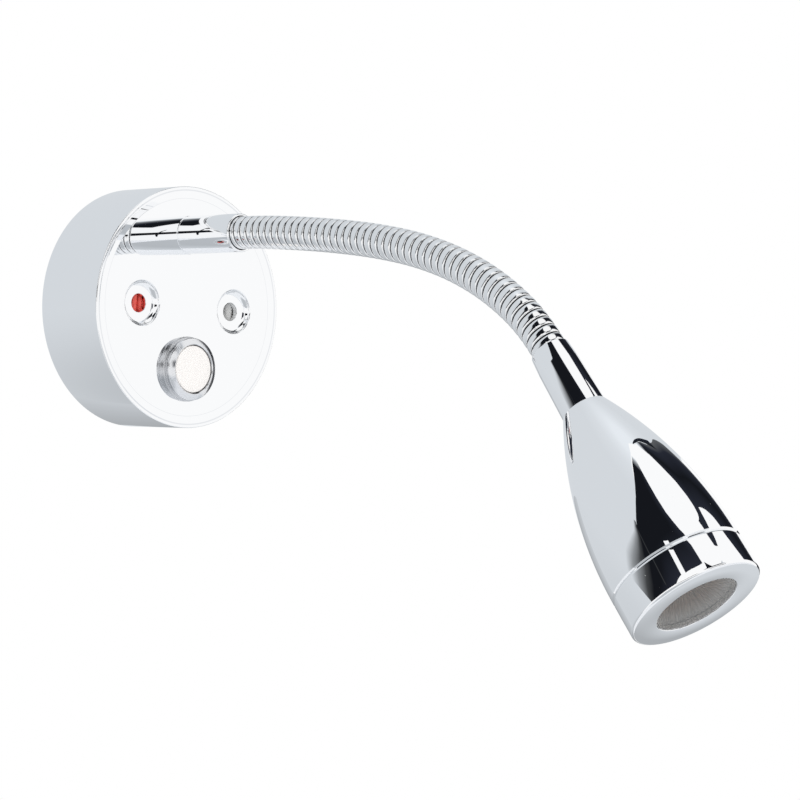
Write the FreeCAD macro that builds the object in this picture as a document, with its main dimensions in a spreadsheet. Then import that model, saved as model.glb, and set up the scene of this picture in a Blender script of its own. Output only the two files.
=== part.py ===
import FreeCAD, Part
import math
import os
import re
import Sketcher

# Bedside wall reading lamp: a chromed round housing screwed to the wall, a
# strip-wound gooseneck that stays where it is bent, and a turned bell-shaped
# spot head with a screwed front ring over a moulded lens.
#
# Millimetres. The origin is the centre of the mounting face on the wall, Z is
# up, X is to the right for someone who faces the wall, and the lamp stands
# out towards -Y. The arm hangs in the plane X = 0.
#
# Most pieces are turned about an axis square to the wall. They are drawn in a
# frame of their own, whose Z runs from the wall into the room and whose Y is
# up, so that heights in their sketches are distances from the wall. The head
# pieces are drawn the same way about the head's axis, with heights measured
# from the plane where the gooseneck enters the collar.

os.makedirs("parts", exist_ok=True)
doc = FreeCAD.newDocument("ReadingLamp")

# ---------------------------------------------------------------------------
# Driving dimensions
# ---------------------------------------------------------------------------

SIZES = [
    # housing
    ("base_diameter", 80.0, "outside of the housing"),
    ("base_depth", 27.6, "wall to the rim of the front"),
    ("base_wall", 1.6, "side wall of the housing"),
    ("face_wall", 1.8, "front wall of the housing"),
    ("face_recess", 0.4, "front field below the rim"),
    ("rim_land", 3.8, "width of the raised rim"),
    ("rim_line_inset", 1.8, "edge to the turned line in the rim"),
    ("rim_line_width", 0.6, "width of the turned line"),
    ("rim_line_depth", 0.3, "depth of the turned line"),
    ("rim_bevel", 0.4, "bevel of the outer edge"),
    ("arm_height", 24.0, "arm axis above the centre"),
    ("switch_drop", 20.5, "switch axis below the centre"),
    ("screw_spread", 40.6, "distance between the cover screws"),
    ("screw_hole", 6.1, "hole for a cover screw"),
    ("dish_diameter", 14.8, "mouth of the dish round a cover screw"),
    ("dish_floor", 9.2, "flat floor of the dish"),
    ("dish_depth", 2.2, "depth of the dish"),
    ("dish_wall", 1.4, "metal behind and round the dish"),
    # wall plate
    ("plate_gap", 0.3, "between the plate and the housing"),
    ("plate_thickness", 1.5, "sheet of the wall plate"),
    ("plate_flange", 5.0, "height of the plate's turned-up edge"),
    ("wall_hole", 4.5, "hole for a wall screw"),
    ("wall_hole_spread", 54.0, "distance between the wall screws"),
    ("bush_bore", 11.0, "bore for the supply cable"),
    ("bush_wall", 1.6, "wall of the entry bush"),
    ("bush_flange", 2.0, "width of the entry bush's flange"),
    ("bush_height", 1.4, "entry bush above the plate"),
    ("clinch_body", 7.8, "outside of a clinch nut"),
    ("clinch_pilot", 5.4, "part of a clinch nut in the plate"),
    ("clinch_height", 3.2, "clinch nut above the plate"),
    ("clinch_core", 3.3, "core of the M4 thread"),
    ("press_gap", 0.03, "round a pressed or screwed fit"),
    # driver
    ("board_width", 28.0, "driver board along X"),
    ("board_height", 23.0, "driver board upwards"),
    ("board_thickness", 1.6, "driver board"),
    ("board_lift", 3.0, "board above the plate"),
    ("board_rise", 3.2, "board centre above the housing's centre"),
    ("pillar_diameter", 3.4, "board pillar"),
    ("pillar_inset", 2.6, "pillar to the board's edges"),
    ("transformer_side", 10.4, "transformer, along X and upwards"),
    ("transformer_tall", 8.6, "transformer off the board"),
    ("transformer_x", -3.4, "transformer from the board's centre"),
    ("transformer_y", 1.2, "transformer above the board's centre"),
    ("capacitor_diameter", 6.3, "capacitor can"),
    ("capacitor_tall", 9.0, "capacitor off the board"),
    ("capacitor_x", 9.0, "capacitor from the board's centre"),
    ("capacitor_y", -4.6, "capacitor above the board's centre"),
    ("terminal_width", 10.2, "supply terminal along X"),
    ("terminal_height", 6.4, "supply terminal upwards"),
    ("terminal_tall", 7.6, "supply terminal off the board"),
    ("terminal_x", 7.6, "supply terminal from the board's centre"),
    ("terminal_y", 5.2, "supply terminal above the board's centre"),
    ("terminal_screw", 2.6, "screw in the supply terminal"),
    # switch
    ("barrel_diameter", 18.8, "threaded barrel of the switch"),
    ("barrel_wall", 1.35, "wall of the barrel"),
    ("bezel_lip", 1.35, "bezel beyond the barrel"),
    ("bezel_proud", 3.1, "bezel above the front field"),
    ("bezel_foot_inset", 0.4, "narrower foot of the bezel on the field"),
    ("bezel_foot_height", 0.5, "height of that foot"),
    ("bezel_round", 0.9, "rounding of the bezel's outer edge"),
    ("bezel_land", 1.4, "bezel's outside to the edge of its sloping face"),
    ("bezel_slope", 1.4, "depth of the sloping inner face"),
    ("barrel_length", 10.8, "barrel behind the front field"),
    ("barrel_web", 2.0, "web at the bottom of the barrel"),
    ("hole_gap", 0.15, "round a barrel or nipple in the housing"),
    ("cap_gap", 0.1, "round the cap in its bore"),
    ("cap_low", 0.6, "cap below the bezel's top"),
    ("cap_skirt", 6.4, "height of the cap"),
    ("cap_wall", 1.1, "wall of the cap"),
    ("cap_bevel", 0.3, "bevel of the cap's edge"),
    ("stem_diameter", 4.0, "stem of the button"),
    ("stem_gap", 0.1, "round the stem in its guide"),
    ("button_travel", 1.5, "stroke of the button"),
    ("spring_wire", 0.6, "wire of the return spring"),
    ("spring_mean", 8.6, "mean diameter of the return spring"),
    ("spring_turns", 4.0, "turns of the return spring"),
    ("spring_gap", 0.15, "spring to its seats"),
    ("block_inset", 0.8, "contact block inside the barrel's outside"),
    ("block_length", 8.4, "length of the contact block"),
    ("tab_width", 2.8, "solder tab"),
    ("tab_thickness", 0.6, "solder tab"),
    ("tab_length", 3.8, "solder tab"),
    ("tab_spread", 7.0, "distance between the solder tabs"),
    ("switch_nut_width", 3.2, "switch nut across flats beyond the barrel"),
    ("switch_nut_height", 3.0, "switch nut"),
    ("switch_washer_width", 3.6, "switch washer beyond the barrel"),
    ("switch_washer_height", 0.6, "switch washer"),
    # root of the arm
    ("sleeve_wall", 0.7, "root sleeve round the gooseneck"),
    ("sleeve_length", 23.75, "root sleeve beyond the rim"),
    ("sleeve_bevel", 0.45, "bevel of the sleeve's mouth"),
    ("hose_entry", 11.0, "straight end of the gooseneck in a sleeve"),
    ("hose_gap", 0.2, "round the gooseneck in a sleeve"),
    ("nipple_diameter", 10.0, "threaded nipple"),
    ("nipple_wall", 1.8, "wall of the nipple"),
    ("nipple_inside", 6.2, "nipple behind the housing's front wall"),
    ("nipple_outside", 11.2, "nipple in the sleeve"),
    ("nipple_nut_width", 4.0, "lock nut across flats beyond the nipple"),
    ("nipple_nut_height", 3.0, "lock nut"),
    ("nipple_washer_width", 5.2, "toothed washer beyond the nipple"),
    ("nipple_washer_height", 0.8, "toothed washer"),
    # gooseneck
    ("neck_crest", 10.8, "gooseneck over its ribs"),
    ("groove_depth", 0.5, "depth of the grooves between the ribs"),
    ("neck_wall", 1.4, "wall of the gooseneck under its grooves"),
    ("neck_span", 17.8, "one of its eight stretches"),
    ("ribs_per_span", 6.0, "ribs in a stretch"),
    ("rib_flank", 0.11, "flank of a rib, as a share of its pitch"),
    ("neck_turn_one", 3.0, "turn of the first stretch, degrees"),
    ("neck_turn_two", 1.7, "second stretch"),
    ("neck_turn_three", 2.0, "third stretch"),
    ("neck_turn_four", 3.6, "fourth stretch"),
    ("neck_turn_five", 6.6, "fifth stretch"),
    ("neck_turn_six", 8.7, "sixth stretch"),
    ("neck_turn_seven", 10.4, "seventh stretch"),
    ("neck_turn_eight", 15.0, "eighth stretch"),
    ("cable_diameter", 4.0, "two-core cable through the arm"),
    ("lead_diameter", 2.4, "single lead in the housing"),
    # head
    ("collar_wall", 0.75, "collar round the gooseneck"),
    ("collar_flare", 0.45, "growth of the collar's radius towards the bell"),
    ("collar_length", 22.8, "collar"),
    ("collar_round", 0.6, "rounding of the collar's mouth"),
    ("spigot_diameter", 9.2, "threaded spigot of the collar"),
    ("spigot_length", 8.2, "spigot in the bell"),
    ("head_cable_bore", 5.0, "bore for the cable in the head"),
    ("head_diameter", 40.0, "bell at the seam, and front ring"),
    ("bell_length", 56.2, "bell"),
    ("bell_wall", 2.4, "wall of the bell behind the ring"),
    ("bell_pocket_depth", 17.0, "depth of that bore"),
    ("cable_pocket", 13.2, "slot under the light source's board"),
    ("cable_pocket_width", 5.4, "width of that slot"),
    ("cable_pocket_depth", 4.5, "depth of that slot"),
    ("ring_length", 11.6, "front ring"),
    ("ring_round", 0.8, "rounding of the ring's front edge"),
    ("seam_chamfer", 0.35, "chamfer on each side of the seam"),
    ("ring_face", 7.6, "width of the ring's flat front"),
    ("ring_front", 4.2, "thickness of the ring's front"),
    ("ring_wall", 2.6, "wall of the ring's spigot"),
    ("ring_spigot", 7.0, "threaded spigot of the ring"),
    ("thread_gap", 0.05, "round a screwed spigot"),
    ("pad_thickness", 0.3, "thermal pad"),
    ("star_diameter", 20.0, "board of the light source"),
    ("star_thickness", 1.6, "board of the light source"),
    ("star_notch", 3.4, "notches round that board"),
    ("star_slot", 2.2, "holes for the cores in that board"),
    ("star_slot_spread", 11.4, "distance between those holes"),
    ("star_screw_spread", 13.6, "distance between its screws"),
    ("star_screw", 2.0, "thread of those screws"),
    ("star_screw_head", 3.8, "head of those screws"),
    ("star_screw_depth", 3.6, "screws below the seat of the board"),
    ("emitter_side", 5.0, "base of the light-emitting diode"),
    ("emitter_height", 0.9, "that base"),
    ("emitter_dome", 3.6, "dome of the diode"),
    ("holder_wall", 1.4, "lens holder"),
    ("holder_gap", 0.2, "round the lens holder in the ring"),
    ("lens_gap", 0.6, "round the flange of the lens in the ring"),
    ("lens_flange_height", 1.4, "flange of the lens"),
    ("lens_face_gap", 0.3, "round the front of the lens in the opening"),
    ("lens_rise", 2.6, "front of the lens above its flange"),
    ("lens_seat", 1.9, "width of the flange on the lens holder"),
    ("lens_tail", 9.4, "lens at the diode"),
    ("lens_tail_gap", 1.3, "lens above the diode's board"),
    ("lens_well", 5.6, "well in the lens over the diode"),
    ("lens_well_depth", 5.0, "depth of that well"),
    ("seal_thickness", 0.4, "seal between the lens and the ring"),
    ("core_diameter", 1.4, "insulated core in the head"),
]

sheet = doc.addObject("Spreadsheet::Sheet", "Sizes")
for row, (alias, amount, meaning) in enumerate(SIZES, 1):
    sheet.set(f"A{row}", meaning)
    sheet.set(f"B{row}", str(amount))
    sheet.setAlias(f"B{row}", alias)
doc.recompute()

ALIASES = sorted((alias for alias, _, _ in SIZES), key=len, reverse=True)
WORD = re.compile(r"\b(" + "|".join(ALIASES) + r")\b")

# heights above the wall and radii that several pieces share
FIELD = "(base_depth - face_recess)"
INSIDE = "(base_depth - face_recess - face_wall)"
BOARD = "(plate_thickness + board_lift)"
BARREL_END = f"({FIELD} - barrel_length)"
BLOCK_END = f"({BARREL_END} - block_length)"
CAP_TOP = f"({FIELD} + bezel_proud - cap_low)"
SLEEVE_END = "(base_depth + sleeve_length)"
HOSE_SEAT = f"({SLEEVE_END} - hose_entry - hose_gap)"
HOSE_BORE = "(neck_crest / 2 + hose_gap)"
SEAM = "(collar_length + bell_length)"
SEAT = f"({SEAM} - bell_pocket_depth)"
STAR = f"({SEAT} + pad_thickness)"
STAR_TOP = f"({STAR} + star_thickness)"
RING_FRONT = f"({SEAM} + ring_length)"
RING_STEP = f"({RING_FRONT} - ring_front)"
FLANGE_TOP = f"({RING_STEP} - seal_thickness)"
FLANGE_LOW = f"({FLANGE_TOP} - lens_flange_height)"

# diameters that follow from what a piece goes round or fits in
BEZEL = "(barrel_diameter + 2 * bezel_lip)"
CAP = "(barrel_diameter - 2 * barrel_wall - 2 * cap_gap)"
BLOCK = "(barrel_diameter - 2 * block_inset)"
NIPPLE_BORE = "(nipple_diameter - 2 * nipple_wall)"
SLEEVE = "(neck_crest + 2 * hose_gap + 2 * sleeve_wall)"
NECK_GROOVE = "(neck_crest - 2 * groove_depth)"
NECK_BORE = f"({NECK_GROOVE} - 2 * neck_wall)"
COLLAR_MOUTH = "(neck_crest + 2 * hose_gap + 2 * collar_wall)"
COLLAR_FOOT = f"({COLLAR_MOUTH} + 2 * collar_flare)"
POCKET = "(head_diameter - 2 * bell_wall)"
RING_BORE = f"({POCKET} - 2 * ring_wall)"
APERTURE = "(head_diameter - 2 * ring_face)"
LENS_FLANGE = f"({RING_BORE} - 2 * lens_gap)"
LENS_FACE = f"({APERTURE} - 2 * lens_face_gap)"
LENS_BODY = f"({LENS_FLANGE} - 2 * lens_seat)"


# ---------------------------------------------------------------------------
# Drawing aids
# ---------------------------------------------------------------------------

def bound(text):
    """The expression with each size's name pointed at its cell."""
    return WORD.sub(r"Sizes.\1", text)


def number(text):
    """What an expression of sizes comes to, in millimetres or degrees."""
    return float(sheet.evalExpression(bound(text)))


def new_body(name):
    body = doc.addObject("PartDesign::Body", name)
    body.Label = name
    return body


def plane(body, role):
    return next(f for f in body.Origin.OriginFeatures if f.Role == role)


def new_sketch(body, role, name):
    sketch = body.newObject("Sketcher::SketchObject", name)
    sketch.AttachmentSupport = (plane(body, role), [""])
    sketch.MapMode = "FlatFace"
    return sketch


def hold(sketch, edge, end, across, up):
    """Tie one point of an edge to the sketch's axes by two bound lengths."""
    for kind, axis, text in (("DistanceX", -2, across), ("DistanceY", -1, up)):
        if text is None:
            continue
        if text == "0":
            sketch.addConstraint(Sketcher.Constraint("PointOnObject", edge, end, axis))
            continue
        tie = sketch.addConstraint(
            Sketcher.Constraint(kind, -1, 1, edge, end, number(text)))
        sketch.setExpression(f"Constraints[{tie}]", bound(text))


def outline(sketch, corners, arcs=None):
    """Close a line through the corners. An edge listed in arcs is part of a
    circle whose centre lies at the given height; its radius follows from the
    edge's two ends."""
    arcs = arcs or {}
    points = [FreeCAD.Vector(number(x), number(y), 0) for x, y in corners]
    ends = []
    for i, start in enumerate(points):
        stop = points[(i + 1) % len(points)]
        if i not in arcs:
            sketch.addGeometry(Part.LineSegment(start, stop), False)
            ends.append((1, 2))
            continue
        level = number(arcs[i])
        middle = (start + stop) / 2
        across = stop - start
        centre = FreeCAD.Vector(
            middle.x + (middle.y - level) * across.y / across.x, level, 0)
        radius = (start - centre).Length
        begin = math.atan2(start.y - centre.y, start.x - centre.x)
        finish = math.atan2(stop.y - centre.y, stop.x - centre.x)
        onward = (finish - begin) % (2 * math.pi) < math.pi
        circle = Part.Circle(centre, FreeCAD.Vector(0, 0, 1), radius)
        first, last = (begin, finish) if onward else (finish, begin)
        sketch.addGeometry(Part.ArcOfCircle(circle, first, last), False)
        ends.append((1, 2) if onward else (2, 1))
    for i in range(len(points)):
        j = (i + 1) % len(points)
        sketch.addConstraint(
            Sketcher.Constraint("Coincident", i, ends[i][1], j, ends[j][0]))
    for i, (x, y) in enumerate(corners):
        hold(sketch, i, ends[i][0], x, y)
    for i, level in arcs.items():
        hold(sketch, i, 3, None, level)
    return sketch


def rounds(sketch, circles):
    """Full circles, each given by its centre and its diameter."""
    for across, up, diameter in circles:
        centre = FreeCAD.Vector(number(across), number(up), 0)
        edge = sketch.addGeometry(
            Part.Circle(centre, FreeCAD.Vector(0, 0, 1), number(diameter) / 2), False)
        hold(sketch, edge, 3, across, up)
        tie = sketch.addConstraint(
            Sketcher.Constraint("Diameter", edge, number(diameter)))
        sketch.setExpression(f"Constraints[{tie}]", bound(diameter))
    return sketch


def revolve(body, corners, arcs=None, name="Profile"):
    """Turn an outline of radius and height about the body's own Z axis."""
    sketch = outline(new_sketch(body, "XZ_Plane", name), corners, arcs)
    turn = body.newObject("PartDesign::Revolution", name + "Turn")
    turn.Profile = sketch
    turn.ReferenceAxis = (sketch, ["V_Axis"])
    turn.Angle = 360
    return turn


def lift(body, sketch, low, high, name):
    """Pad a sketch drawn on the XY plane between two heights."""
    pad = body.newObject("PartDesign::Pad", name)
    sketch.AttachmentOffset = FreeCAD.Placement(
        FreeCAD.Vector(0, 0, number(low)), FreeCAD.Rotation())
    if low != "0":
        sketch.setExpression("AttachmentOffset.Base.z", bound(low))
    pad.Profile = sketch
    pad.Length = number(f"({high}) - ({low})")
    pad.setExpression("Length", bound(f"({high}) - ({low})"))
    return pad


def drill(body, sketch, name):
    """Cut a sketch on the XY plane right through the body, both ways."""
    pocket = body.newObject("PartDesign::Pocket", name)
    pocket.Profile = sketch
    pocket.Type = "ThroughAll"
    pocket.Midplane = True
    return pocket


def sink(body, sketch, low, high, name):
    """Cut a sketch on the XY plane from one height down to another."""
    sketch.AttachmentOffset = FreeCAD.Placement(
        FreeCAD.Vector(0, 0, number(high)), FreeCAD.Rotation())
    sketch.setExpression("AttachmentOffset.Base.z", bound(high))
    pocket = body.newObject("PartDesign::Pocket", name)
    pocket.Profile = sketch
    pocket.Length = number(f"({high}) - ({low})")
    pocket.setExpression("Length", bound(f"({high}) - ({low})"))
    return pocket


def soften(body, radius, height, amount, name, kind="Fillet"):
    """Fillet or chamfer the round edge of that radius at that height."""
    doc.recompute()
    carrier = body.Tip
    found = []
    for i, edge in enumerate(carrier.Shape.Edges, 1):
        if not isinstance(edge.Curve, Part.Circle):
            continue
        if abs(edge.Curve.Radius - number(radius)) < 1e-4 \
                and abs(edge.Curve.Center.z - number(height)) < 1e-4:
            found.append(f"Edge{i}")
    feature = body.newObject("PartDesign::" + kind, name)
    feature.Base = (carrier, found)
    prop = "Radius" if kind == "Fillet" else "Size"
    setattr(feature, prop, number(amount))
    feature.setExpression(prop, bound(amount))
    return feature


def stand(thing, across="0", up="0"):
    """Turn a piece's Z axis out of the wall and set it over its axis."""
    thing.Placement = FreeCAD.Placement(
        FreeCAD.Vector(number(across), 0, number(up)),
        FreeCAD.Rotation(FreeCAD.Vector(1, 0, 0), 90))
    if across != "0":
        thing.setExpression("Placement.Base.x", bound(across))
    if up != "0":
        thing.setExpression("Placement.Base.z", bound(up))
    return thing


def block(name, sides, corner):
    """A square-edged box with bound sides and a bound nearest corner."""
    box = doc.addObject("Part::Box", name)
    for prop, text in zip(("Length", "Width", "Height"), sides):
        box.setExpression(prop, bound(text))
    for prop, text in zip("xyz", corner):
        if text != "0":
            box.setExpression("Placement.Base." + prop, bound(text))
    return box


def rod(name, diameter, low, high, across="0", up="0"):
    """A plain round bar between two heights."""
    bar = doc.addObject("Part::Cylinder", name)
    bar.setExpression("Radius", bound(f"({diameter}) / 2"))
    bar.setExpression("Height", bound(f"({high}) - ({low})"))
    for prop, text in (("x", across), ("y", up), ("z", low)):
        if text != "0":
            bar.setExpression("Placement.Base." + prop, bound(text))
    return bar


def cut(name, base, tool):
    """Take one solid from another."""
    made = doc.addObject("Part::Cut", name)
    made.Base = base
    made.Tool = tool
    return made


def fuse(name, things):
    """Join several solids into one."""
    made = doc.addObject("Part::MultiFuse", name)
    made.Shapes = things
    made.Refine = True
    return made


def hex_nut(name, flats, thread, low, high, turn=0.0):
    """A hexagonal nut with a chamfered top, bored for its thread."""
    prism = doc.addObject("Part::Prism", name + "Hex")
    prism.Polygon = 6
    prism.setExpression("Circumradius", bound(f"{flats} / sqrt(3)"))
    prism.setExpression("Height", bound(f"({high}) - ({low})"))
    prism.Placement = FreeCAD.Placement(
        FreeCAD.Vector(0, 0, number(low)),
        FreeCAD.Rotation(FreeCAD.Vector(0, 0, 1), turn))
    prism.setExpression("Placement.Base.z", bound(low))
    cone = doc.addObject("Part::Cone", name + "Chamfer")
    cone.setExpression("Radius1", bound(f"{flats} * 0.5"))
    cone.setExpression("Radius2", bound(f"{flats} * 0.5 + 2 * (({high}) - ({low}))"))
    cone.setExpression("Height", bound(f"({high}) - ({low})"))
    cone.setExpression("Placement.Base.z", bound(low))
    turned = doc.addObject("Part::Common", name + "Turned")
    turned.Base, turned.Tool = prism, cone
    bore = rod(name + "Bore", thread, low, high)
    nut = cut(name, turned, bore)
    nut.Label = name
    return nut


def twin(name, half, across=(1, 0, 0)):
    """A piece and its mirror image across a plane, as one group."""
    other = doc.addObject("Part::Mirroring", name + "Other")
    other.Source = half
    other.Normal = FreeCAD.Vector(*across)
    both = doc.addObject("Part::Compound", name)
    both.Links = [half, other]
    both.Label = name
    return both


def path_of(points):
    """Straight runs joined by tangent arcs, each arc as large as its two
    runs allow: 0.45 of the shorter run over the tangent of half the turn."""
    spots = [FreeCAD.Vector(*p) for p in points]
    edges, last, radii = [], spots[0], []
    for before, corner, after in zip(spots, spots[1:], spots[2:]):
        way_in = corner - before
        way_out = after - corner
        room = 0.45 * min(way_in.Length, way_out.Length)
        into, out = way_in.normalize(), way_out.normalize()
        turn = into.getAngle(out)
        radius = room / math.tan(turn / 2)
        radii.append(round(radius, 1))
        begin, finish = corner - into * room, corner + out * room
        inward = (out - into).normalize()
        middle = corner + inward * (radius / math.cos(turn / 2) - radius)
        edges.append(Part.LineSegment(last, begin).toShape())
        edges.append(Part.Arc(begin, middle, finish).toShape())
        last = finish
    edges.append(Part.LineSegment(last, spots[-1]).toShape())
    return Part.Wire(edges), radii


def tube(name, points, diameter):
    """A round lead of steady section along a route."""
    spine, radii = path_of(points)
    start = FreeCAD.Vector(*points[0])
    along = FreeCAD.Vector(*points[1]) - start
    ring = Part.Wire(Part.Circle(start, along, diameter / 2).toShape())
    shape = spine.makePipeShell([ring], True, False)
    print(name, "bend radii", radii, "volume", round(shape.Volume, 1),
          "of", round(math.pi * diameter ** 2 / 4 * spine.Length, 1))
    made = doc.addObject("Part::Feature", name)
    made.Label = name
    made.Shape = shape
    return made


# ---------------------------------------------------------------------------
# Housing: a spun cup, open to the wall, with a mirror-flat front
# ---------------------------------------------------------------------------

housing = new_body("base_housing")
revolve(housing, [
    ("base_diameter / 2 - base_wall", "0"),
    ("base_diameter / 2", "0"),
    ("base_diameter / 2", "base_depth"),
    ("base_diameter / 2 - rim_line_inset + rim_line_width / 2", "base_depth"),
    ("base_diameter / 2 - rim_line_inset", "base_depth - rim_line_depth"),
    ("base_diameter / 2 - rim_line_inset - rim_line_width / 2", "base_depth"),
    ("base_diameter / 2 - rim_land", "base_depth"),
    ("base_diameter / 2 - rim_land - face_recess / 2", FIELD),
    ("0", FIELD),
    ("0", INSIDE),
    ("base_diameter / 2 - base_wall", INSIDE),
], name="Cup")

bosses = rounds(new_sketch(housing, "XY_Plane", "BossRounds"), [
    (f"{side} * screw_spread / 2", "0", "dish_diameter + 2 * dish_wall")
    for side in (-1, 1)])
lift(housing, bosses, f"{FIELD} - dish_depth - dish_wall", FIELD, "Bosses")

through = rounds(new_sketch(housing, "XY_Plane", "ThroughRounds"), [
    ("0", "arm_height", "nipple_diameter + 2 * hole_gap"),
    ("0", "-switch_drop", "barrel_diameter + 2 * hole_gap"),
    ("-screw_spread / 2", "0", "screw_hole"),
    ("screw_spread / 2", "0", "screw_hole")])
drill(housing, through, "Holes")

# each dish is a shallow bowl with a flat floor, pressed round its hole
dish = new_sketch(housing, "XZ_Plane", "DishProfile")
outline(dish, [
    ("screw_spread / 2", f"{FIELD} - dish_depth"),
    ("screw_spread / 2 + dish_floor / 2", f"{FIELD} - dish_depth"),
    ("screw_spread / 2 + dish_diameter / 2", FIELD),
    ("screw_spread / 2", FIELD),
], arcs={1: f"{FIELD} - dish_depth + (dish_diameter - dish_floor) / 2"})
spindle = dish.addGeometry(Part.LineSegment(
    FreeCAD.Vector(number("screw_spread / 2"), 0, 0),
    FreeCAD.Vector(number("screw_spread / 2"), 5, 0)), True)
hold(dish, spindle, 1, "screw_spread / 2", "0")
dish.addConstraint(Sketcher.Constraint("Vertical", spindle))
dish.addConstraint(Sketcher.Constraint("DistanceY", spindle, 1, spindle, 2, 5.0))
bowl = housing.newObject("PartDesign::Groove", "Dish")
bowl.Profile = dish
bowl.ReferenceAxis = (dish, ["Axis0"])
bowl.Angle = 360
doc.recompute()
pair = housing.newObject("PartDesign::Mirrored", "DishPair")
pair.Originals = [bowl]
pair.MirrorPlane = (plane(housing, "YZ_Plane"), [""])
housing.Tip = pair
soften(housing, "base_diameter / 2", "base_depth", "rim_bevel", "RimEdge", "Chamfer")
stand(housing)

# ---------------------------------------------------------------------------
# Wall plate, its entry bush and the nuts that take the cover screws
# ---------------------------------------------------------------------------

plate = new_body("wall_plate")
PLATE_EDGE = "base_diameter / 2 - base_wall - plate_gap"
revolve(plate, [
    ("0", "0"),
    (PLATE_EDGE, "0"),
    (PLATE_EDGE, "plate_flange"),
    (PLATE_EDGE + " - plate_thickness", "plate_flange"),
    (PLATE_EDGE + " - plate_thickness", "plate_thickness"),
    ("0", "plate_thickness"),
], name="Pan")
drill(plate, rounds(new_sketch(plate, "XY_Plane", "PlateRounds"), [
    ("0", "0", "bush_bore + 2 * bush_wall + 2 * press_gap"),
    ("0", "wall_hole_spread / 2", "wall_hole"),
    ("0", "-wall_hole_spread / 2", "wall_hole"),
    ("-screw_spread / 2", "0", "clinch_pilot + 2 * press_gap"),
    ("screw_spread / 2", "0", "clinch_pilot + 2 * press_gap")]), "PlateHoles")
soften(plate, PLATE_EDGE, "0", "plate_thickness / 2", "PanEdge", "Chamfer")
stand(plate)

bush = new_body("entry_bush")
revolve(bush, [
    ("bush_bore / 2", "0"),
    ("bush_bore / 2 + bush_wall", "0"),
    ("bush_bore / 2 + bush_wall", "plate_thickness"),
    ("bush_bore / 2 + bush_wall + bush_flange", "plate_thickness"),
    ("bush_bore / 2 + bush_wall + bush_flange", "plate_thickness + bush_height"),
    ("bush_bore / 2", "plate_thickness + bush_height"),
])
soften(bush, "bush_bore / 2", "plate_thickness + bush_height", "bush_height / 2", "LeadIn",
       "Chamfer")
stand(bush)

nut_half = new_body("ClinchNut")
revolve(nut_half, [
    ("clinch_core / 2", "0"),
    ("clinch_pilot / 2", "0"),
    ("clinch_pilot / 2", "plate_thickness"),
    ("clinch_body / 2", "plate_thickness"),
    ("clinch_body / 2", "plate_thickness + clinch_height"),
    ("clinch_core / 2", "plate_thickness + clinch_height"),
])
stand(nut_half, "screw_spread / 2")
twin("clinch_nuts", nut_half)

# ---------------------------------------------------------------------------
# Driver: a small board on four pillars, with its main parts
# ---------------------------------------------------------------------------

board = new_body("driver_board")
sheet_outline = outline(new_sketch(board, "XY_Plane", "BoardOutline"), [
    ("-board_width / 2", "board_rise - board_height / 2"),
    ("board_width / 2", "board_rise - board_height / 2"),
    ("board_width / 2", "board_rise + board_height / 2"),
    ("-board_width / 2", "board_rise + board_height / 2")])
lift(board, sheet_outline, BOARD, f"{BOARD} + board_thickness", "BoardPad")
stand(board)

pillar_places = [(sx, sy) for sx in (-1, 1) for sy in (-1, 1)]
pillars = doc.addObject("Part::Compound", "board_pillars")
pillars.Links = [
    rod(f"Pillar{i}", "pillar_diameter", "plate_thickness", BOARD,
        f"{sx} * (board_width / 2 - pillar_inset)",
        f"board_rise + {sy} * (board_height / 2 - pillar_inset)")
    for i, (sx, sy) in enumerate(pillar_places)]
stand(pillars)

BOARD_TOP = f"({BOARD} + board_thickness)"
core = block("TransformerCore",
             ("transformer_side", "transformer_side", "transformer_tall * 0.62"),
             ("transformer_x - transformer_side / 2",
              "board_rise + transformer_y - transformer_side / 2",
              f"{BOARD_TOP} + transformer_tall * 0.19"))
winding = rod("TransformerWinding", "transformer_side * 0.8",
              BOARD_TOP, f"{BOARD_TOP} + transformer_tall",
              "transformer_x", "board_rise + transformer_y")
transformer = fuse("driver_transformer", [core, winding])
stand(transformer)

can = new_body("driver_capacitor")
revolve(can, [
    ("0", BOARD_TOP),
    ("capacitor_diameter / 2", BOARD_TOP),
    ("capacitor_diameter / 2", f"{BOARD_TOP} + 0.8"),
    ("capacitor_diameter / 2 - 0.35", f"{BOARD_TOP} + 1.1"),
    ("capacitor_diameter / 2", f"{BOARD_TOP} + 1.4"),
    ("capacitor_diameter / 2", f"{BOARD_TOP} + capacitor_tall"),
    ("0", f"{BOARD_TOP} + capacitor_tall"),
])
stand(can, "capacitor_x", "board_rise + capacitor_y")

TERMINAL_TOP = f"({BOARD_TOP} + terminal_tall)"
terminal_block = block("TerminalBlock",
                       ("terminal_width", "terminal_height", "terminal_tall"),
                       ("terminal_x - terminal_width / 2",
                        "board_rise + terminal_y - terminal_height / 2", BOARD_TOP))
wells = doc.addObject("Part::Compound", "TerminalWells")
wells.Links = [
    tool for i in (-1, 1) for tool in (
        rod(f"ScrewWell{i + 2}", "terminal_screw + 0.5", f"{TERMINAL_TOP} - 2.4",
            TERMINAL_TOP, f"terminal_x + {i} * terminal_width / 4",
            "board_rise + terminal_y"),
        block(f"WireWell{i + 2}", ("terminal_width * 0.32", "3", "2.6"),
              (f"terminal_x + {i} * terminal_width / 4 - terminal_width * 0.16",
               "board_rise + terminal_y + terminal_height / 2 - 3",
               f"{BOARD_TOP} + 1.2")))]
terminal = cut("supply_terminal", terminal_block, wells)
stand(terminal)

screws = doc.addObject("Part::Compound", "terminal_screws")
screws.Links = [
    rod(f"TerminalScrew{i + 2}", "terminal_screw", f"{TERMINAL_TOP} - 2.4",
        f"{TERMINAL_TOP} - 0.7", f"terminal_x + {i} * terminal_width / 4",
        "board_rise + terminal_y") for i in (-1, 1)]
stand(screws)

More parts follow.
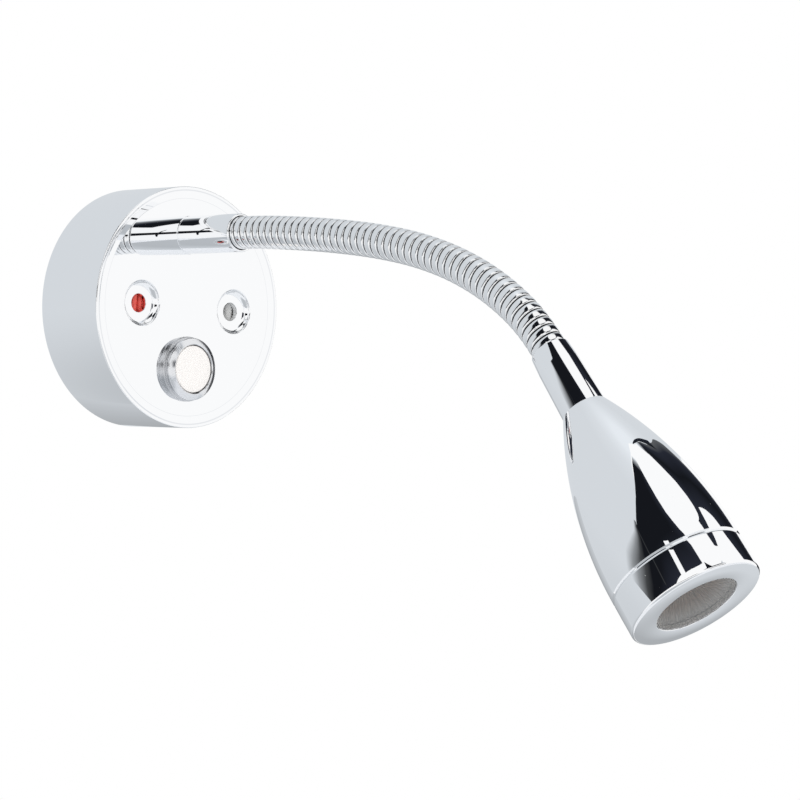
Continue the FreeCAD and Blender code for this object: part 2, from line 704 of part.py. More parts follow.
# ---------------------------------------------------------------------------
# Push-button switch: bezel and threaded barrel, nut, cap, spring, contacts
# ---------------------------------------------------------------------------

bezel = new_body("switch_bezel")
BEZEL_TOP = f"({FIELD} + bezel_proud)"
WEB_TOP = f"({BARREL_END} + barrel_web)"
CAP_BORE = "(barrel_diameter / 2 - barrel_wall)"
revolve(bezel, [
    ("stem_diameter / 2 + stem_gap", BARREL_END),
    ("barrel_diameter / 2", BARREL_END),
    ("barrel_diameter / 2", FIELD),
    (f"{BEZEL} / 2 - bezel_foot_inset", FIELD),
    (f"{BEZEL} / 2 - bezel_foot_inset", f"{FIELD} + bezel_foot_height"),
    (f"{BEZEL} / 2", f"{FIELD} + bezel_foot_height"),
    (f"{BEZEL} / 2", f"{BEZEL_TOP} - bezel_round"),
    (f"{BEZEL} / 2 - bezel_round", BEZEL_TOP),
    (f"{BEZEL} / 2 - bezel_land", BEZEL_TOP),
    (CAP_BORE, f"{BEZEL_TOP} - bezel_slope"),
    (CAP_BORE, WEB_TOP),
    ("stem_diameter / 2 + stem_gap", WEB_TOP),
], arcs={6: f"{BEZEL_TOP} - bezel_round"})
stand(bezel, up="-switch_drop")

NUT_TOP = f"({INSIDE} - switch_washer_height)"
washer = cut("switch_washer",
             rod("SwitchWasherDisc", "barrel_diameter + switch_washer_width", NUT_TOP, INSIDE),
             rod("SwitchWasherBore", "barrel_diameter + 2 * press_gap", NUT_TOP, INSIDE))
stand(washer, up="-switch_drop")
switch_nut = hex_nut("switch_nut", "(barrel_diameter + switch_nut_width)",
                     "barrel_diameter + 2 * press_gap",
                     f"({NUT_TOP} - switch_nut_height)", NUT_TOP)
stand(switch_nut, up="-switch_drop")

cap = new_body("button_cap")
revolve(cap, [
    ("0", f"{BARREL_END} - 1"),
    ("stem_diameter / 2", f"{BARREL_END} - 1"),
    ("stem_diameter / 2", f"{CAP_TOP} - cap_wall"),
    (f"{CAP} / 2 - cap_wall", f"{CAP_TOP} - cap_wall"),
    (f"{CAP} / 2 - cap_wall", f"{CAP_TOP} - cap_skirt"),
    (f"{CAP} / 2", f"{CAP_TOP} - cap_skirt"),
    (f"{CAP} / 2", f"{CAP_TOP} - cap_bevel"),
    (f"{CAP} / 2 - cap_bevel", CAP_TOP),
    ("0", CAP_TOP),
])
stand(cap, up="-switch_drop")

# the spring stands on the web and carries the cap from inside its skirt
spring_low = number(f"{WEB_TOP} + spring_gap + spring_wire / 2")
spring_high = number(f"{CAP_TOP} - cap_wall - spring_gap - spring_wire / 2")
rise = spring_high - spring_low
coil = Part.makeHelix(rise / number("spring_turns"), rise, number("spring_mean / 2"))
corners = [FreeCAD.Vector(
    number("spring_mean / 2") + number("spring_wire / 2") * math.cos(math.radians(60 * i)), 0,
    number("spring_wire / 2") * math.sin(math.radians(60 * i))) for i in range(7)]
spring = doc.addObject("Part::Feature", "button_spring")
spring.Label = "button_spring"
spring.Shape = Part.Wire(coil).makePipeShell([Part.makePolygon(corners)], True, True)
stand(spring, up="-switch_drop")
spring.Placement.Base.y = -spring_low

contacts = new_body("contact_block")
revolve(contacts, [
    ("0", BLOCK_END),
    (f"{BLOCK} / 2", BLOCK_END),
    (f"{BLOCK} / 2", BARREL_END),
    ("stem_diameter / 2 + stem_gap", BARREL_END),
    ("stem_diameter / 2 + stem_gap", f"{BARREL_END} - 1 - button_travel - 0.5"),
    ("0", f"{BARREL_END} - 1 - button_travel - 0.5"),
])
stand(contacts, up="-switch_drop")

tabs = doc.addObject("Part::Compound", "switch_tabs")
tabs.Links = [
    block(f"Tab{i + 2}", ("tab_thickness", "tab_width", "tab_length"),
          (f"{i} * tab_spread / 2 - tab_thickness / 2", "-tab_width / 2",
           f"{BLOCK_END} - tab_length")) for i in (-1, 1)]
stand(tabs, up="-switch_drop")

# ---------------------------------------------------------------------------
# Root of the arm: nipple through the front, lock nut, sleeve
# ---------------------------------------------------------------------------

nipple = new_body("root_nipple")
revolve(nipple, [
    (f"{NIPPLE_BORE} / 2", f"{INSIDE} - nipple_inside"),
    ("nipple_diameter / 2 - 0.5", f"{INSIDE} - nipple_inside"),
    ("nipple_diameter / 2", f"{INSIDE} - nipple_inside + 0.5"),
    ("nipple_diameter / 2", f"{FIELD} + nipple_outside - 0.5"),
    ("nipple_diameter / 2 - 0.5", f"{FIELD} + nipple_outside"),
    (f"{NIPPLE_BORE} / 2", f"{FIELD} + nipple_outside"),
])
stand(nipple, up="arm_height")

LOCK_TOP = f"({INSIDE} - nipple_washer_height)"
lock_washer = cut("lock_washer",
                  rod("LockWasherDisc", "nipple_diameter + nipple_washer_width", LOCK_TOP, INSIDE),
                  rod("LockWasherBore", "nipple_diameter + 2 * press_gap", LOCK_TOP, INSIDE))
stand(lock_washer, up="arm_height")
lock_nut = hex_nut("lock_nut", "(nipple_diameter + nipple_nut_width)",
                   "nipple_diameter + 2 * press_gap",
                   f"({LOCK_TOP} - nipple_nut_height)", LOCK_TOP)
stand(lock_nut, up="arm_height")

sleeve = new_body("root_sleeve")
revolve(sleeve, [
    ("nipple_diameter / 2 + press_gap", FIELD),
    (f"{SLEEVE} / 2", FIELD),
    (f"{SLEEVE} / 2", f"{SLEEVE_END} - sleeve_bevel"),
    (f"{SLEEVE} / 2 - sleeve_bevel", SLEEVE_END),
    (HOSE_BORE, SLEEVE_END),
    (HOSE_BORE, HOSE_SEAT),
    ("nipple_diameter / 2 + press_gap", HOSE_SEAT),
])
stand(sleeve, up="arm_height")

# ---------------------------------------------------------------------------
# Gooseneck: a tube wound from a formed strip, in eight stretches. Each
# stretch keeps its length and bends as an even arc about an axis along X.
# ---------------------------------------------------------------------------

TURNS = [number("neck_turn_" + word) for word in
         "one two three four five six seven eight".split()]
ROOT = FreeCAD.Vector(0, -number(SLEEVE_END), number("arm_height"))


def heading(angle):
    """Out from the wall, turned down by an angle in degrees."""
    a = math.radians(angle)
    return FreeCAD.Vector(0, -math.cos(a), -math.sin(a))


def along(start, angle, turn, length):
    """The point that length along an arc of that turn per stretch."""
    share = turn * length / number("neck_span")
    if abs(share) < 1e-6:
        return start + heading(angle) * length
    chord = length * math.sin(math.radians(share / 2)) / math.radians(share / 2)
    return start + heading(angle + share / 2) * chord


STRETCHES = []
spot, lean = ROOT, 0.0
for turn in TURNS:
    STRETCHES.append((spot, lean, turn))
    spot = along(spot, lean, turn, number("neck_span"))
    lean += turn
NECK_END, NECK_LEAN = spot, lean


def ring_at(point, angle, diameter):
    """A circle square to the tube, its seam always on the side of +X."""
    axes = Part.Circle()
    axes.Center = point
    axes.Axis = heading(angle)
    axes.XAxis = FreeCAD.Vector(1, 0, 0)
    axes.Radius = diameter / 2
    return Part.Wire(axes.toShape())


def stretch_rings(place, radii_at):
    """Circles along one stretch, given as pairs of length and diameter."""
    start, angle, turn = place
    rings = []
    for length, diameter in radii_at:
        if length < 0:
            rings.append(ring_at(start + heading(angle) * length, angle, diameter))
        elif length > number("neck_span"):
            end = along(start, angle, turn, number("neck_span"))
            beyond = length - number("neck_span")
            rings.append(ring_at(end + heading(angle + turn) * beyond, angle + turn, diameter))
        else:
            here = along(start, angle, turn, length)
            rings.append(ring_at(here, angle + turn * length / number("neck_span"), diameter))
    return rings


def ribbed_stretch(index):
    """Ribs as a ruled loft through four circles each, bored right through."""
    span, count = number("neck_span"), int(number("ribs_per_span"))
    crest, groove = number("neck_crest"), number(NECK_GROOVE)
    pitch = span / count
    flank = pitch * number("rib_flank")
    outer = [(0.0, groove)]
    for rib in range(count):
        first = rib * pitch
        outer += [(first + flank, crest), (first + pitch - flank, crest),
                  (first + pitch, groove)]
    entry = number("hose_entry")
    low, high = 0.0, span
    if index == 0:
        outer = [(-entry, crest), (-0.4, crest)] + outer
        low = -entry
    if index == len(STRETCHES) - 1:
        outer = outer + [(span + 0.4, crest), (span + entry, crest)]
        high = span + entry
    middle = {span / 2} if STRETCHES[index][2] > 3 else set()
    stations = sorted({low, 0.0, span, high} | middle)
    inner = [(length, number(NECK_BORE)) for length in stations]
    skin = Part.makeLoft(stretch_rings(STRETCHES[index], outer), True, True)
    bore = Part.makeLoft(stretch_rings(STRETCHES[index], inner), True, True)
    return skin.cut(bore)


def cable_stretch(index):
    """The two-core cable inside one stretch."""
    span = number("neck_span")
    places = [(span * i / 2, number("cable_diameter")) for i in range(3)]
    return Part.makeLoft(stretch_rings(STRETCHES[index], places), True, True)


for index in range(len(STRETCHES)):
    for name, maker in (("gooseneck", ribbed_stretch), ("arm_cable", cable_stretch)):
        piece = doc.addObject("Part::Feature", f"{name}_{index + 1}")
        piece.Label = f"{name}_{index + 1}"
        piece.Shape = maker(index)
print("gooseneck ends at", [round(v, 2) for v in NECK_END], "leaning", round(NECK_LEAN, 2))


# ---------------------------------------------------------------------------
# Leads in the housing
# ---------------------------------------------------------------------------

arm_up = number("arm_height")
sleeve_end = number(SLEEVE_END)
inside = number(INSIDE)
board_top = number(BOARD_TOP)
board_edge = number("board_rise + board_height / 2")
cable_rest = board_top + number("cable_diameter / 2") + 0.1
switch_y = -number("switch_drop")
tab_x = number("tab_spread / 2")
tab_edge = switch_y + number("tab_width / 2") + 0.2
tab_mid = number(f"{BLOCK_END} - tab_length / 2")
hole_x = number("screw_spread / 2")

stand(tube("root_cable", [
    (0, arm_up, sleeve_end),
    (0, arm_up, inside - 6.0),
    (-1.2, arm_up - 2.5, board_top + 5.4),
    (-2.6, board_edge + 0.8, cable_rest + 0.2),
    (-2.8, board_edge - 2.6, cable_rest),
], number("cable_diameter")))

# both switch leads rise past the left cover screw's hole on their way to the board
stand(tube("switch_lead_1", [
    (-tab_x - 0.4, switch_y, tab_mid),
    (-tab_x - 8.2, switch_y, tab_mid + 0.4),
    (-hole_x + 6.9, -0.5, inside - 9.0),
    (-hole_x + 8.6, board_edge - 4.4, inside - 10.6),
    (-hole_x + 8.7, board_edge - 4.2, board_top + 0.1),
], number("lead_diameter")))
stand(tube("switch_lead_2", [
    (tab_x, tab_edge, tab_mid),
    (tab_x - 0.5, tab_edge + 9.3, tab_mid - 0.1),
    (-hole_x + 9.1, 0.5, inside - 6.9),
    (-hole_x + 12.7, board_edge - 1.9, inside - 10.8),
    (-hole_x + 12.9, board_edge - 1.8, board_top + 0.1),
], number("lead_diameter")))

# ---------------------------------------------------------------------------
# Head: collar, bell, light source, lens and front ring on one axis
# ---------------------------------------------------------------------------


def aim(thing):
    """Set a head piece on the gooseneck's end, along its last heading."""
    thing.Placement = FreeCAD.Placement(
        NECK_END, FreeCAD.Rotation(FreeCAD.Vector(1, 0, 0), 90 + NECK_LEAN))
    return thing


collar = new_body("head_collar")
SPIGOT_END = "(collar_length + spigot_length)"
revolve(collar, [
    (HOSE_BORE, "0"),
    (f"{COLLAR_MOUTH} / 2 - collar_round", "0"),
    (f"{COLLAR_MOUTH} / 2", "collar_round"),
    (f"{COLLAR_FOOT} / 2", "collar_length"),
    ("spigot_diameter / 2", "collar_length"),
    ("spigot_diameter / 2", SPIGOT_END),
    ("head_cable_bore / 2", SPIGOT_END),
    ("head_cable_bore / 2", "hose_entry + hose_gap"),
    (HOSE_BORE, "hose_entry + hose_gap"),
], arcs={1: "collar_round"})
aim(collar)

head_cable = rod("head_cable", "cable_diameter", "0",
                 f"{SEAT} - cable_pocket_depth + 0.8")
aim(head_cable)

bell = new_body("head_bell")
revolve(bell, [
    ("spigot_diameter / 2 + thread_gap", "collar_length"),
    (f"{COLLAR_FOOT} / 2 + 0.1", "collar_length"),
    ("head_diameter / 2", f"{SEAM} - seam_chamfer"),
    ("head_diameter / 2 - seam_chamfer", SEAM),
    (f"{POCKET} / 2", SEAM),
    (f"{POCKET} / 2", SEAT),
    ("head_cable_bore / 2", SEAT),
    ("head_cable_bore / 2", f"{SPIGOT_END} + 0.4"),
    ("spigot_diameter / 2 + thread_gap", f"{SPIGOT_END} + 0.4"),
], arcs={1: f"{SEAM} - seam_chamfer"})
sink(bell, outline(new_sketch(bell, "XY_Plane", "SlotOutline"), [
    ("-cable_pocket / 2", "-cable_pocket_width / 2"),
    ("cable_pocket / 2", "-cable_pocket_width / 2"),
    ("cable_pocket / 2", "cable_pocket_width / 2"),
    ("-cable_pocket / 2", "cable_pocket_width / 2")]),
    f"({SEAT} - cable_pocket_depth)", SEAT, "CableSlot")
sink(bell, rounds(new_sketch(bell, "XY_Plane", "TapRounds"), [
    ("0", f"{side} * star_screw_spread / 2", "star_screw + 2 * press_gap")
    for side in (-1, 1)]), f"({SEAT} - star_screw_depth)", SEAT, "Taps")
aim(bell)

ring = new_body("front_ring")
revolve(ring, [
    (f"{RING_BORE} / 2", f"{SEAM} - ring_spigot"),
    (f"{POCKET} / 2 - thread_gap", f"{SEAM} - ring_spigot"),
    (f"{POCKET} / 2 - thread_gap", SEAM),
    ("head_diameter / 2 - seam_chamfer", SEAM),
    ("head_diameter / 2", f"{SEAM} + seam_chamfer"),
    ("head_diameter / 2", f"{RING_FRONT} - ring_round"),
    ("head_diameter / 2 - ring_round", RING_FRONT),
    (f"{APERTURE} / 2", RING_FRONT),
    (f"{APERTURE} / 2", RING_STEP),
    (f"{RING_BORE} / 2", RING_STEP),
], arcs={5: f"{RING_FRONT} - ring_round"})
soften(ring, f"{APERTURE} / 2", RING_FRONT, "0.25", "ApertureEdge", "Chamfer")
aim(ring)

HOLDER_RADIUS = f"({RING_BORE} / 2 - holder_gap)"
holder = new_body("lens_holder")
revolve(holder, [
    ("star_diameter / 2 - 0.8", STAR_TOP),
    (HOLDER_RADIUS, STAR_TOP),
    (HOLDER_RADIUS, FLANGE_LOW),
    (HOLDER_RADIUS + " - holder_wall", FLANGE_LOW),
    (HOLDER_RADIUS + " - holder_wall", f"{STAR_TOP} + holder_wall"),
    ("star_diameter / 2 - 0.8", f"{STAR_TOP} + holder_wall"),
])
aim(holder)

seal = cut("lens_seal",
           rod("SealDisc", LENS_FLANGE, FLANGE_TOP, RING_STEP),
           rod("SealBore", f"{LENS_FACE} + 0.6", FLANGE_TOP, RING_STEP))
aim(seal)

lens = new_body("lens")
LENS_TAIL = f"({STAR_TOP} + lens_tail_gap)"
revolve(lens, [
    ("lens_well / 2", LENS_TAIL),
    ("lens_tail / 2", LENS_TAIL),
    (f"{LENS_BODY} / 2", FLANGE_LOW),
    (f"{LENS_FLANGE} / 2", FLANGE_LOW),
    (f"{LENS_FLANGE} / 2", FLANGE_TOP),
    (f"{LENS_FACE} / 2", FLANGE_TOP),
    (f"{LENS_FACE} / 2", f"{FLANGE_TOP} + lens_rise"),
    ("0", f"{FLANGE_TOP} + lens_rise"),
    ("0", f"{LENS_TAIL} + lens_well_depth"),
    ("lens_well / 2", f"{LENS_TAIL} + lens_well_depth - 1"),
], arcs={1: f"{FLANGE_LOW} + 9"})
aim(lens)

thermal_pad = new_body("thermal_pad")
lift(thermal_pad, rounds(new_sketch(thermal_pad, "XY_Plane", "PadRound"),
                         [("0", "0", "star_diameter")]), SEAT, STAR, "Pad")
drill(thermal_pad, outline(new_sketch(thermal_pad, "XY_Plane", "PadSlot"), [
    ("-cable_pocket / 2", "-cable_pocket_width / 2"),
    ("cable_pocket / 2", "-cable_pocket_width / 2"),
    ("cable_pocket / 2", "cable_pocket_width / 2"),
    ("-cable_pocket / 2", "cable_pocket_width / 2")]), "Slot")
drill(thermal_pad, rounds(new_sketch(thermal_pad, "XY_Plane", "PadTaps"), [
    ("0", f"{side} * star_screw_spread / 2", "star_screw + 2 * hole_gap")
    for side in (-1, 1)]), "PadScrewHoles")
aim(thermal_pad)

star = new_body("light_board")
lift(star, rounds(new_sketch(star, "XY_Plane", "StarRound"),
                  [("0", "0", "star_diameter")]), STAR, STAR_TOP, "StarPad")
notched = drill(star, rounds(new_sketch(star, "XY_Plane", "NotchRound"),
                             [("star_diameter / 2", "0", "star_notch")]), "Notch")
doc.recompute()
notches = star.newObject("PartDesign::PolarPattern", "Notches")
notches.Originals = [notched]
notches.Axis = (plane(star, "Z_Axis"), [""])
notches.Occurrences = 6
notches.Angle = 360
star.Tip = notches
drill(star, rounds(new_sketch(star, "XY_Plane", "CoreRounds"), [
    (f"{side} * star_slot_spread / 2", "0", "star_slot") for side in (-1, 1)] + [
    ("0", f"{side} * star_screw_spread / 2", "star_screw + 2 * hole_gap")
    for side in (-1, 1)]), "CoreHoles")
aim(star)

emitter_base = block("EmitterBase", ("emitter_side", "emitter_side", "emitter_height"),
                     ("-emitter_side / 2", "-emitter_side / 2", STAR_TOP))
dome = doc.addObject("Part::Sphere", "EmitterDome")
dome.setExpression("Radius", bound("emitter_dome / 2"))
dome.Angle1 = 0
dome.setExpression("Placement.Base.z", bound(f"{STAR_TOP} + emitter_height"))
aim(fuse("light_emitter", [emitter_base, dome]))

star_screw = new_body("StarScrew")
revolve(star_screw, [
    ("0", f"{SEAT} - star_screw_depth + 0.2"),
    ("star_screw / 2", f"{SEAT} - star_screw_depth + 0.2"),
    ("star_screw / 2", STAR_TOP),
    ("star_screw_head / 2", STAR_TOP),
    ("star_screw_head / 2", f"{STAR_TOP} + 0.4"),
    ("star_screw_head / 4", f"{STAR_TOP} + 0.9"),
    ("0", f"{STAR_TOP} + 0.9"),
])
star_screw.setExpression("Placement.Base.y", bound("star_screw_spread / 2"))
aim(twin("star_screws", star_screw, across=(0, 1, 0)))

core = number("core_diameter")
slot_x = number("star_slot_spread / 2")
cable_tip = number(f"{SEAT} - cable_pocket_depth + 0.8")
star_top = number(STAR_TOP)
for side, name in ((-1, "core_black"), (1, "core_red")):
    aim(tube(name, [
        (side * 0.95, 0, cable_tip + 0.68),
        (side * slot_x, 0, cable_tip + 2.4),
        (side * slot_x, 0, star_top + 0.7),
    ], core))

# ---------------------------------------------------------------------------
# Checks, then one file for each piece
# ---------------------------------------------------------------------------

PIECES = """
base_housing wall_plate entry_bush clinch_nuts
driver_board board_pillars driver_transformer driver_capacitor
supply_terminal terminal_screws
switch_bezel switch_washer switch_nut button_cap button_spring
contact_block switch_tabs switch_lead_1 switch_lead_2
root_nipple lock_washer lock_nut root_sleeve root_cable
head_collar head_cable head_bell front_ring lens_holder lens_seal lens
thermal_pad light_board light_emitter star_screws core_black core_red
""".split() + [f"{name}_{index + 1}" for index in range(len(STRETCHES))
               for name in ("gooseneck", "arm_cable")]

doc.recompute()
faults = [thing.Name for thing in doc.Objects
          if "Invalid" in thing.State or "Error" in thing.State]
for thing in doc.Objects:
    if thing.TypeId in ("PartDesign::Pocket", "PartDesign::Groove"):
        if thing.Shape.Volume > thing.BaseFeature.Shape.Volume - 0.01:
            faults.append(thing.Name + " cuts nothing")
    if thing.TypeId == "Sketcher::SketchObject" and thing.solve() != 0:
        faults.append(thing.Name + " is not solved")
shapes = {}
for name in PIECES:
    found = doc.getObjectsByLabel(name)
    shape = found[0].Shape
    if shape.isNull() or not shape.isValid() or not shape.Solids:
        faults.append(name + " is not a sound solid")
    shapes[name] = shape
if faults:
    raise RuntimeError("; ".join(faults))

for name, shape in shapes.items():
    shape.exportStep(f"parts/{name}.step")
print(len(shapes), "pieces,", sum(len(s.Solids) for s in shapes.values()), "solids")
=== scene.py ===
# Bedside wall reading lamp. A chromed round housing is screwed to the wall, and a
# gooseneck wound from a formed strip carries a turned, bell-shaped spot head whose
# screwed front ring holds a moulded lens. A push-button sits low on the housing.
import math

import bmesh
import bpy
import numpy as np
from mathutils import Matrix, Vector, geometry


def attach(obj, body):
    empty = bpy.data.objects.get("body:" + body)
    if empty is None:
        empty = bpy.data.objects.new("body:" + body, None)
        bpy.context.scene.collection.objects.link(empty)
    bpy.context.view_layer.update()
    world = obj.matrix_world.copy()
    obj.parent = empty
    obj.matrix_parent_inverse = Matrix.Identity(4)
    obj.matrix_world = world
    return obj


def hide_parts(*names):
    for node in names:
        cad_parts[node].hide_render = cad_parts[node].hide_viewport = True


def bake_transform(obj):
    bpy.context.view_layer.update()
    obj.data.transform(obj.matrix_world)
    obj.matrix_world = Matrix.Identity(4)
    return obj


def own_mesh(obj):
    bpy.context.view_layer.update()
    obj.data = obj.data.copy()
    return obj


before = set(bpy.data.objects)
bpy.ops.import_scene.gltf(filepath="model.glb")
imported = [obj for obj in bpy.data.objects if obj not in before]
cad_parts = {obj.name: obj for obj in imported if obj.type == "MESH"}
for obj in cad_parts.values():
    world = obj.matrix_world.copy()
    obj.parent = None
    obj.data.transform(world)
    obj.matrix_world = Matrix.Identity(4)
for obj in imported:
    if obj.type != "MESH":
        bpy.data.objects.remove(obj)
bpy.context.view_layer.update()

scene = bpy.context.scene

# ---------------------------------------------------------------------------
# Camera, floor and light
# The lamp is seen from its left, a little from below, in a white room with a pale
# floor and one soft box. Polished chrome shows what stands round it, so grey and
# black cards hang there, as in a studio, and draw its dark bands. The cards glow and
# are seen only in reflections: their tones are painted reflections of light and shade.
# ---------------------------------------------------------------------------
CAMERA_PLACE = (-0.58216, -0.67878, -0.05063)
AZIMUTH, ELEVATION, ROLL = -46.48, -1.49, 2.41
SENSOR, FOCAL, NEAR = 36.0, 118.35, 0.01
SHIFT_ACROSS, SHIFT_UP = -0.00125, 0.0009


def looking(azimuth, elevation, roll):
    """The camera's axes: back runs from the lamp to the camera, level lies flat and
    square to it, and right is level turned about back by the roll."""
    a, e, r = (math.radians(v) for v in (azimuth, elevation, roll))
    back = Vector((math.sin(a) * math.cos(e), -math.cos(a) * math.cos(e), math.sin(e)))
    level = Vector((math.cos(a), math.sin(a), 0.0))
    right = level * math.cos(r) + back.cross(level) * math.sin(r)
    return Matrix((right, back.cross(right), back)).transposed()


camera = bpy.data.objects.new("camera", bpy.data.cameras.new("camera"))
camera.data.sensor_width = SENSOR
camera.data.lens = FOCAL
camera.data.clip_start = NEAR
camera.data.shift_x, camera.data.shift_y = SHIFT_ACROSS, SHIFT_UP
camera.matrix_world = (Matrix.Translation(CAMERA_PLACE)
                       @ looking(AZIMUTH, ELEVATION, ROLL).to_4x4())
scene.collection.objects.link(camera)
scene.camera = camera
scene.view_settings.view_transform = "Standard"

world = bpy.data.worlds.new("room")
scene.world = world
world.use_nodes = True
WALL_WHITE = (1.0, 1.0, 1.0, 1.0)
background = world.node_tree.nodes["Background"]
background.inputs["Color"].default_value = WALL_WHITE
background.inputs["Strength"].default_value = 1.0

FLOOR_DROP, FLOOR_SIDE, FLOOR_BACK = 0.6, 2.6, 0.05
floor = bpy.data.objects.new("floor", bpy.data.meshes.new("floor"))
half = FLOOR_SIDE / 2
floor.data.from_pydata([(-half, -FLOOR_SIDE, -FLOOR_DROP), (half, -FLOOR_SIDE, -FLOOR_DROP),
                        (half, FLOOR_BACK, -FLOOR_DROP), (-half, FLOOR_BACK, -FLOOR_DROP)],
                       [], [(0, 1, 2, 3)])
floor_paint = bpy.data.materials.new("pale floor")
floor_paint.use_nodes = True
shader = floor_paint.node_tree.nodes["Principled BSDF"]
shader.inputs["Base Color"].default_value = (0.82, 0.84, 0.87, 1.0)
shader.inputs["Roughness"].default_value = 0.7
shader.inputs["Specular IOR Level"].default_value = 0.2
floor.data.materials.append(floor_paint)
scene.collection.objects.link(floor)

# a card hangs round the place that mirrors it: the head, or the housing's front
LAMP_EYE, HOUSING_EYE = (0.0, -0.2, -0.03), (0.0, -0.03, 0.024)


def card(name, reach, rows, tones, down=False, columns=8, eye=LAMP_EYE):
    """A card bent round the lamp. It glows with its tones and is seen only in reflections
    and through the lens, a painted reflection. A row runs between two ends, each an
    azimuth and a height angle in degrees; the point at azimuth a and height angle e lies
    at eye + reach x (sin a cos e, -cos a cos e, sin e). The tones, each with its share
    of the way, go across the rows or down them."""
    ends = np.radians(np.array(rows, float))
    across = np.linspace(0, 1, columns + 1)[None, :, None]
    a, e = np.moveaxis(ends[:, :1] + (ends[:, 1:] - ends[:, :1]) * across, 2, 0)
    spots = np.stack((np.sin(a) * np.cos(e), -np.cos(a) * np.cos(e), np.sin(e)), -1)
    spots = spots.reshape(-1, 3) * reach + np.array(eye)
    wide = columns + 1
    i, j = np.meshgrid(np.arange(len(rows) - 1), np.arange(columns), indexing="ij")
    quads = np.stack((i * wide + j, i * wide + j + 1, (i + 1) * wide + j + 1,
                      (i + 1) * wide + j), -1).reshape(-1, 4)
    mesh = bpy.data.meshes.new(name)
    mesh.from_pydata(spots.tolist(), [], quads.tolist())
    fall = ends[:, 0, 1]
    fall = (fall[0] - fall) / (fall[0] - fall[-1])
    share = np.repeat(fall, wide) if down else np.tile(across.ravel(), len(rows))
    mesh.uv_layers.new(name="share").data.foreach_set(
        "uv", np.column_stack((share, 0 * share))[quads.ravel()].ravel())
    sheet = bpy.data.materials.new(name)
    sheet.use_nodes = True
    n, link = sheet.node_tree.nodes, sheet.node_tree.links.new
    n.remove(n["Principled BSDF"])
    glow, place, ramp = (n.new("ShaderNodeEmission"), n.new("ShaderNodeUVMap"),
                         n.new("ShaderNodeValToRGB"))
    apart = n.new("ShaderNodeSeparateXYZ")
    link(place.outputs["UV"], apart.inputs["Vector"])
    link(apart.outputs["X"], ramp.inputs["Fac"])
    link(ramp.outputs["Color"], glow.inputs["Color"])
    link(glow.outputs["Emission"], n["Material Output"].inputs["Surface"])
    stops = ramp.color_ramp.elements
    while len(stops) < len(tones):
        stops.new(0.5)
    for stop, (at, colour) in zip(stops, tones):
        stop.position = at
        stop.color = (*colour, 1.0)
    mesh.materials.append(sheet)
    made = bpy.data.objects.new(name, mesh)
    made.visible_camera = made.visible_diffuse = made.visible_shadow = False
    scene.collection.objects.link(made)


def tone(level):
    """A cool grey: its red a little under the level and its blue a little over."""
    return (level * 0.955, level, level * 1.045)


WHITE, PALE, BLACK = (1.0, 1.0, 1.0), tone(0.71), (0.008, 0.009, 0.012)
NAVY = (0.02, 0.023, 0.034)
# the grey wall glows darker towards its foot: painted shade in its reflection
card("grey wall", 3.10, [
    ((74, 90), (285, 90)), ((75, 82), (278, 82)), ((81, 75), (274, 75)), ((85, 68), (272, 68)),
    ((87, 60), (271, 60)), ((91, 50), (268, 50)), ((96, 40), (264, 40)),
    ((103, 30), (260, 30)), ((109, 21), (256, 20)), ((115, 14), (252, 14)),
    ((120, 8), (250, 8)), ((122, 0), (244, 0)), ((122, -10), (240, -10)),
    ((122, -22), (236, -22)), ((124, -40), (232, -40)), ((124, -60), (232, -60))],
    [(0.0, tone(0.87)), (0.053, tone(0.86)), (0.09, tone(0.81)), (0.15, tone(0.75)),
     (0.25, tone(0.71)), (0.62, tone(0.71)), (0.68, tone(0.69)), (0.74, tone(0.66)),
     (0.85, tone(0.58)), (1.0, tone(0.5))], down=True, columns=24)
card("low shade", 3.04, [((124, -5), (168, -5)), ((124, -60), (168, -60))],
     [(0.0, tone(0.38)), (0.34, tone(0.38)), (0.45, tone(0.44)), (0.65, tone(0.5)),
      (1.0, tone(0.6))])
card("black flag", 3.0, [
    ((-82, 77), (-68, 77)), ((-84.5, 74), (-63.5, 74)), ((-86, 70), (-60.5, 70)),
    ((-87.5, 65), (-56.5, 65)), ((-89, 60.5), (-51, 60.5)), ((-89.7, 58.6), (-45, 58.6)),
    ((-90.2, 57), (-39, 57)), ((-90.6, 56), (-32, 56)), ((-92, 52.5), (-29, 51.5)),
    ((-93.3, 49), (-38, 49)), ((-95, 45.5), (-48, 45.5)), ((-97, 41), (-57, 41.5)),
    ((-98.8, 37), (-65, 37)), ((-101, 32), (-73, 32)), ((-102.5, 28), (-79, 27)),
    ((-102.5, 24), (-84, 22)), ((-103.5, 19), (-90, 16)), ((-105.5, 14), (-97, 9)),
    ((-109, 8), (-104, 3)), ((-114, 1), (-112, -4)), ((-119, -4), (-118, -6))],
    [(0.0, BLACK), (0.55, BLACK), (1.0, NAVY)])
card("flag's top", 2.99, [((-81, 80), (-68, 80)), ((-83.5, 74), (-63.5, 74))],
     [(0.0, tone(0.9)), (0.4, tone(0.35)), (1.0, NAVY)], down=True)
card("flag's soft edge", 2.98, [
    ((-103.6, 31), (-102, 31)), ((-105, 28), (-102, 28)), ((-107, 24), (-102, 24)),
    ((-109.5, 21), (-102.5, 21)), ((-115, 15), (-104.5, 15)), ((-119, 11), (-106.5, 11)),
    ((-125, 5), (-110, 5)), ((-129, 0), (-114, 0)), ((-134, -6), (-118, -6))],
    [(0.0, PALE), (0.35, tone(0.3)), (0.7, tone(0.06)), (1.0, BLACK)])
card("white slip", 2.95, [((-75.6, 39.2), (-68.6, 42.9)), ((-71.1, 30.8), (-64.1, 34.6))],
     [(0.0, WHITE), (1.0, WHITE)], columns=2)
card("faint slip", 2.95, [((-103.8, 28), (-102.3, 28)), ((-100, 22), (-98, 22)),
                          ((-96.5, 15), (-94, 15))],
     [(0.0, BLACK), (0.5, tone(0.05)), (1.0, BLACK)], columns=2)
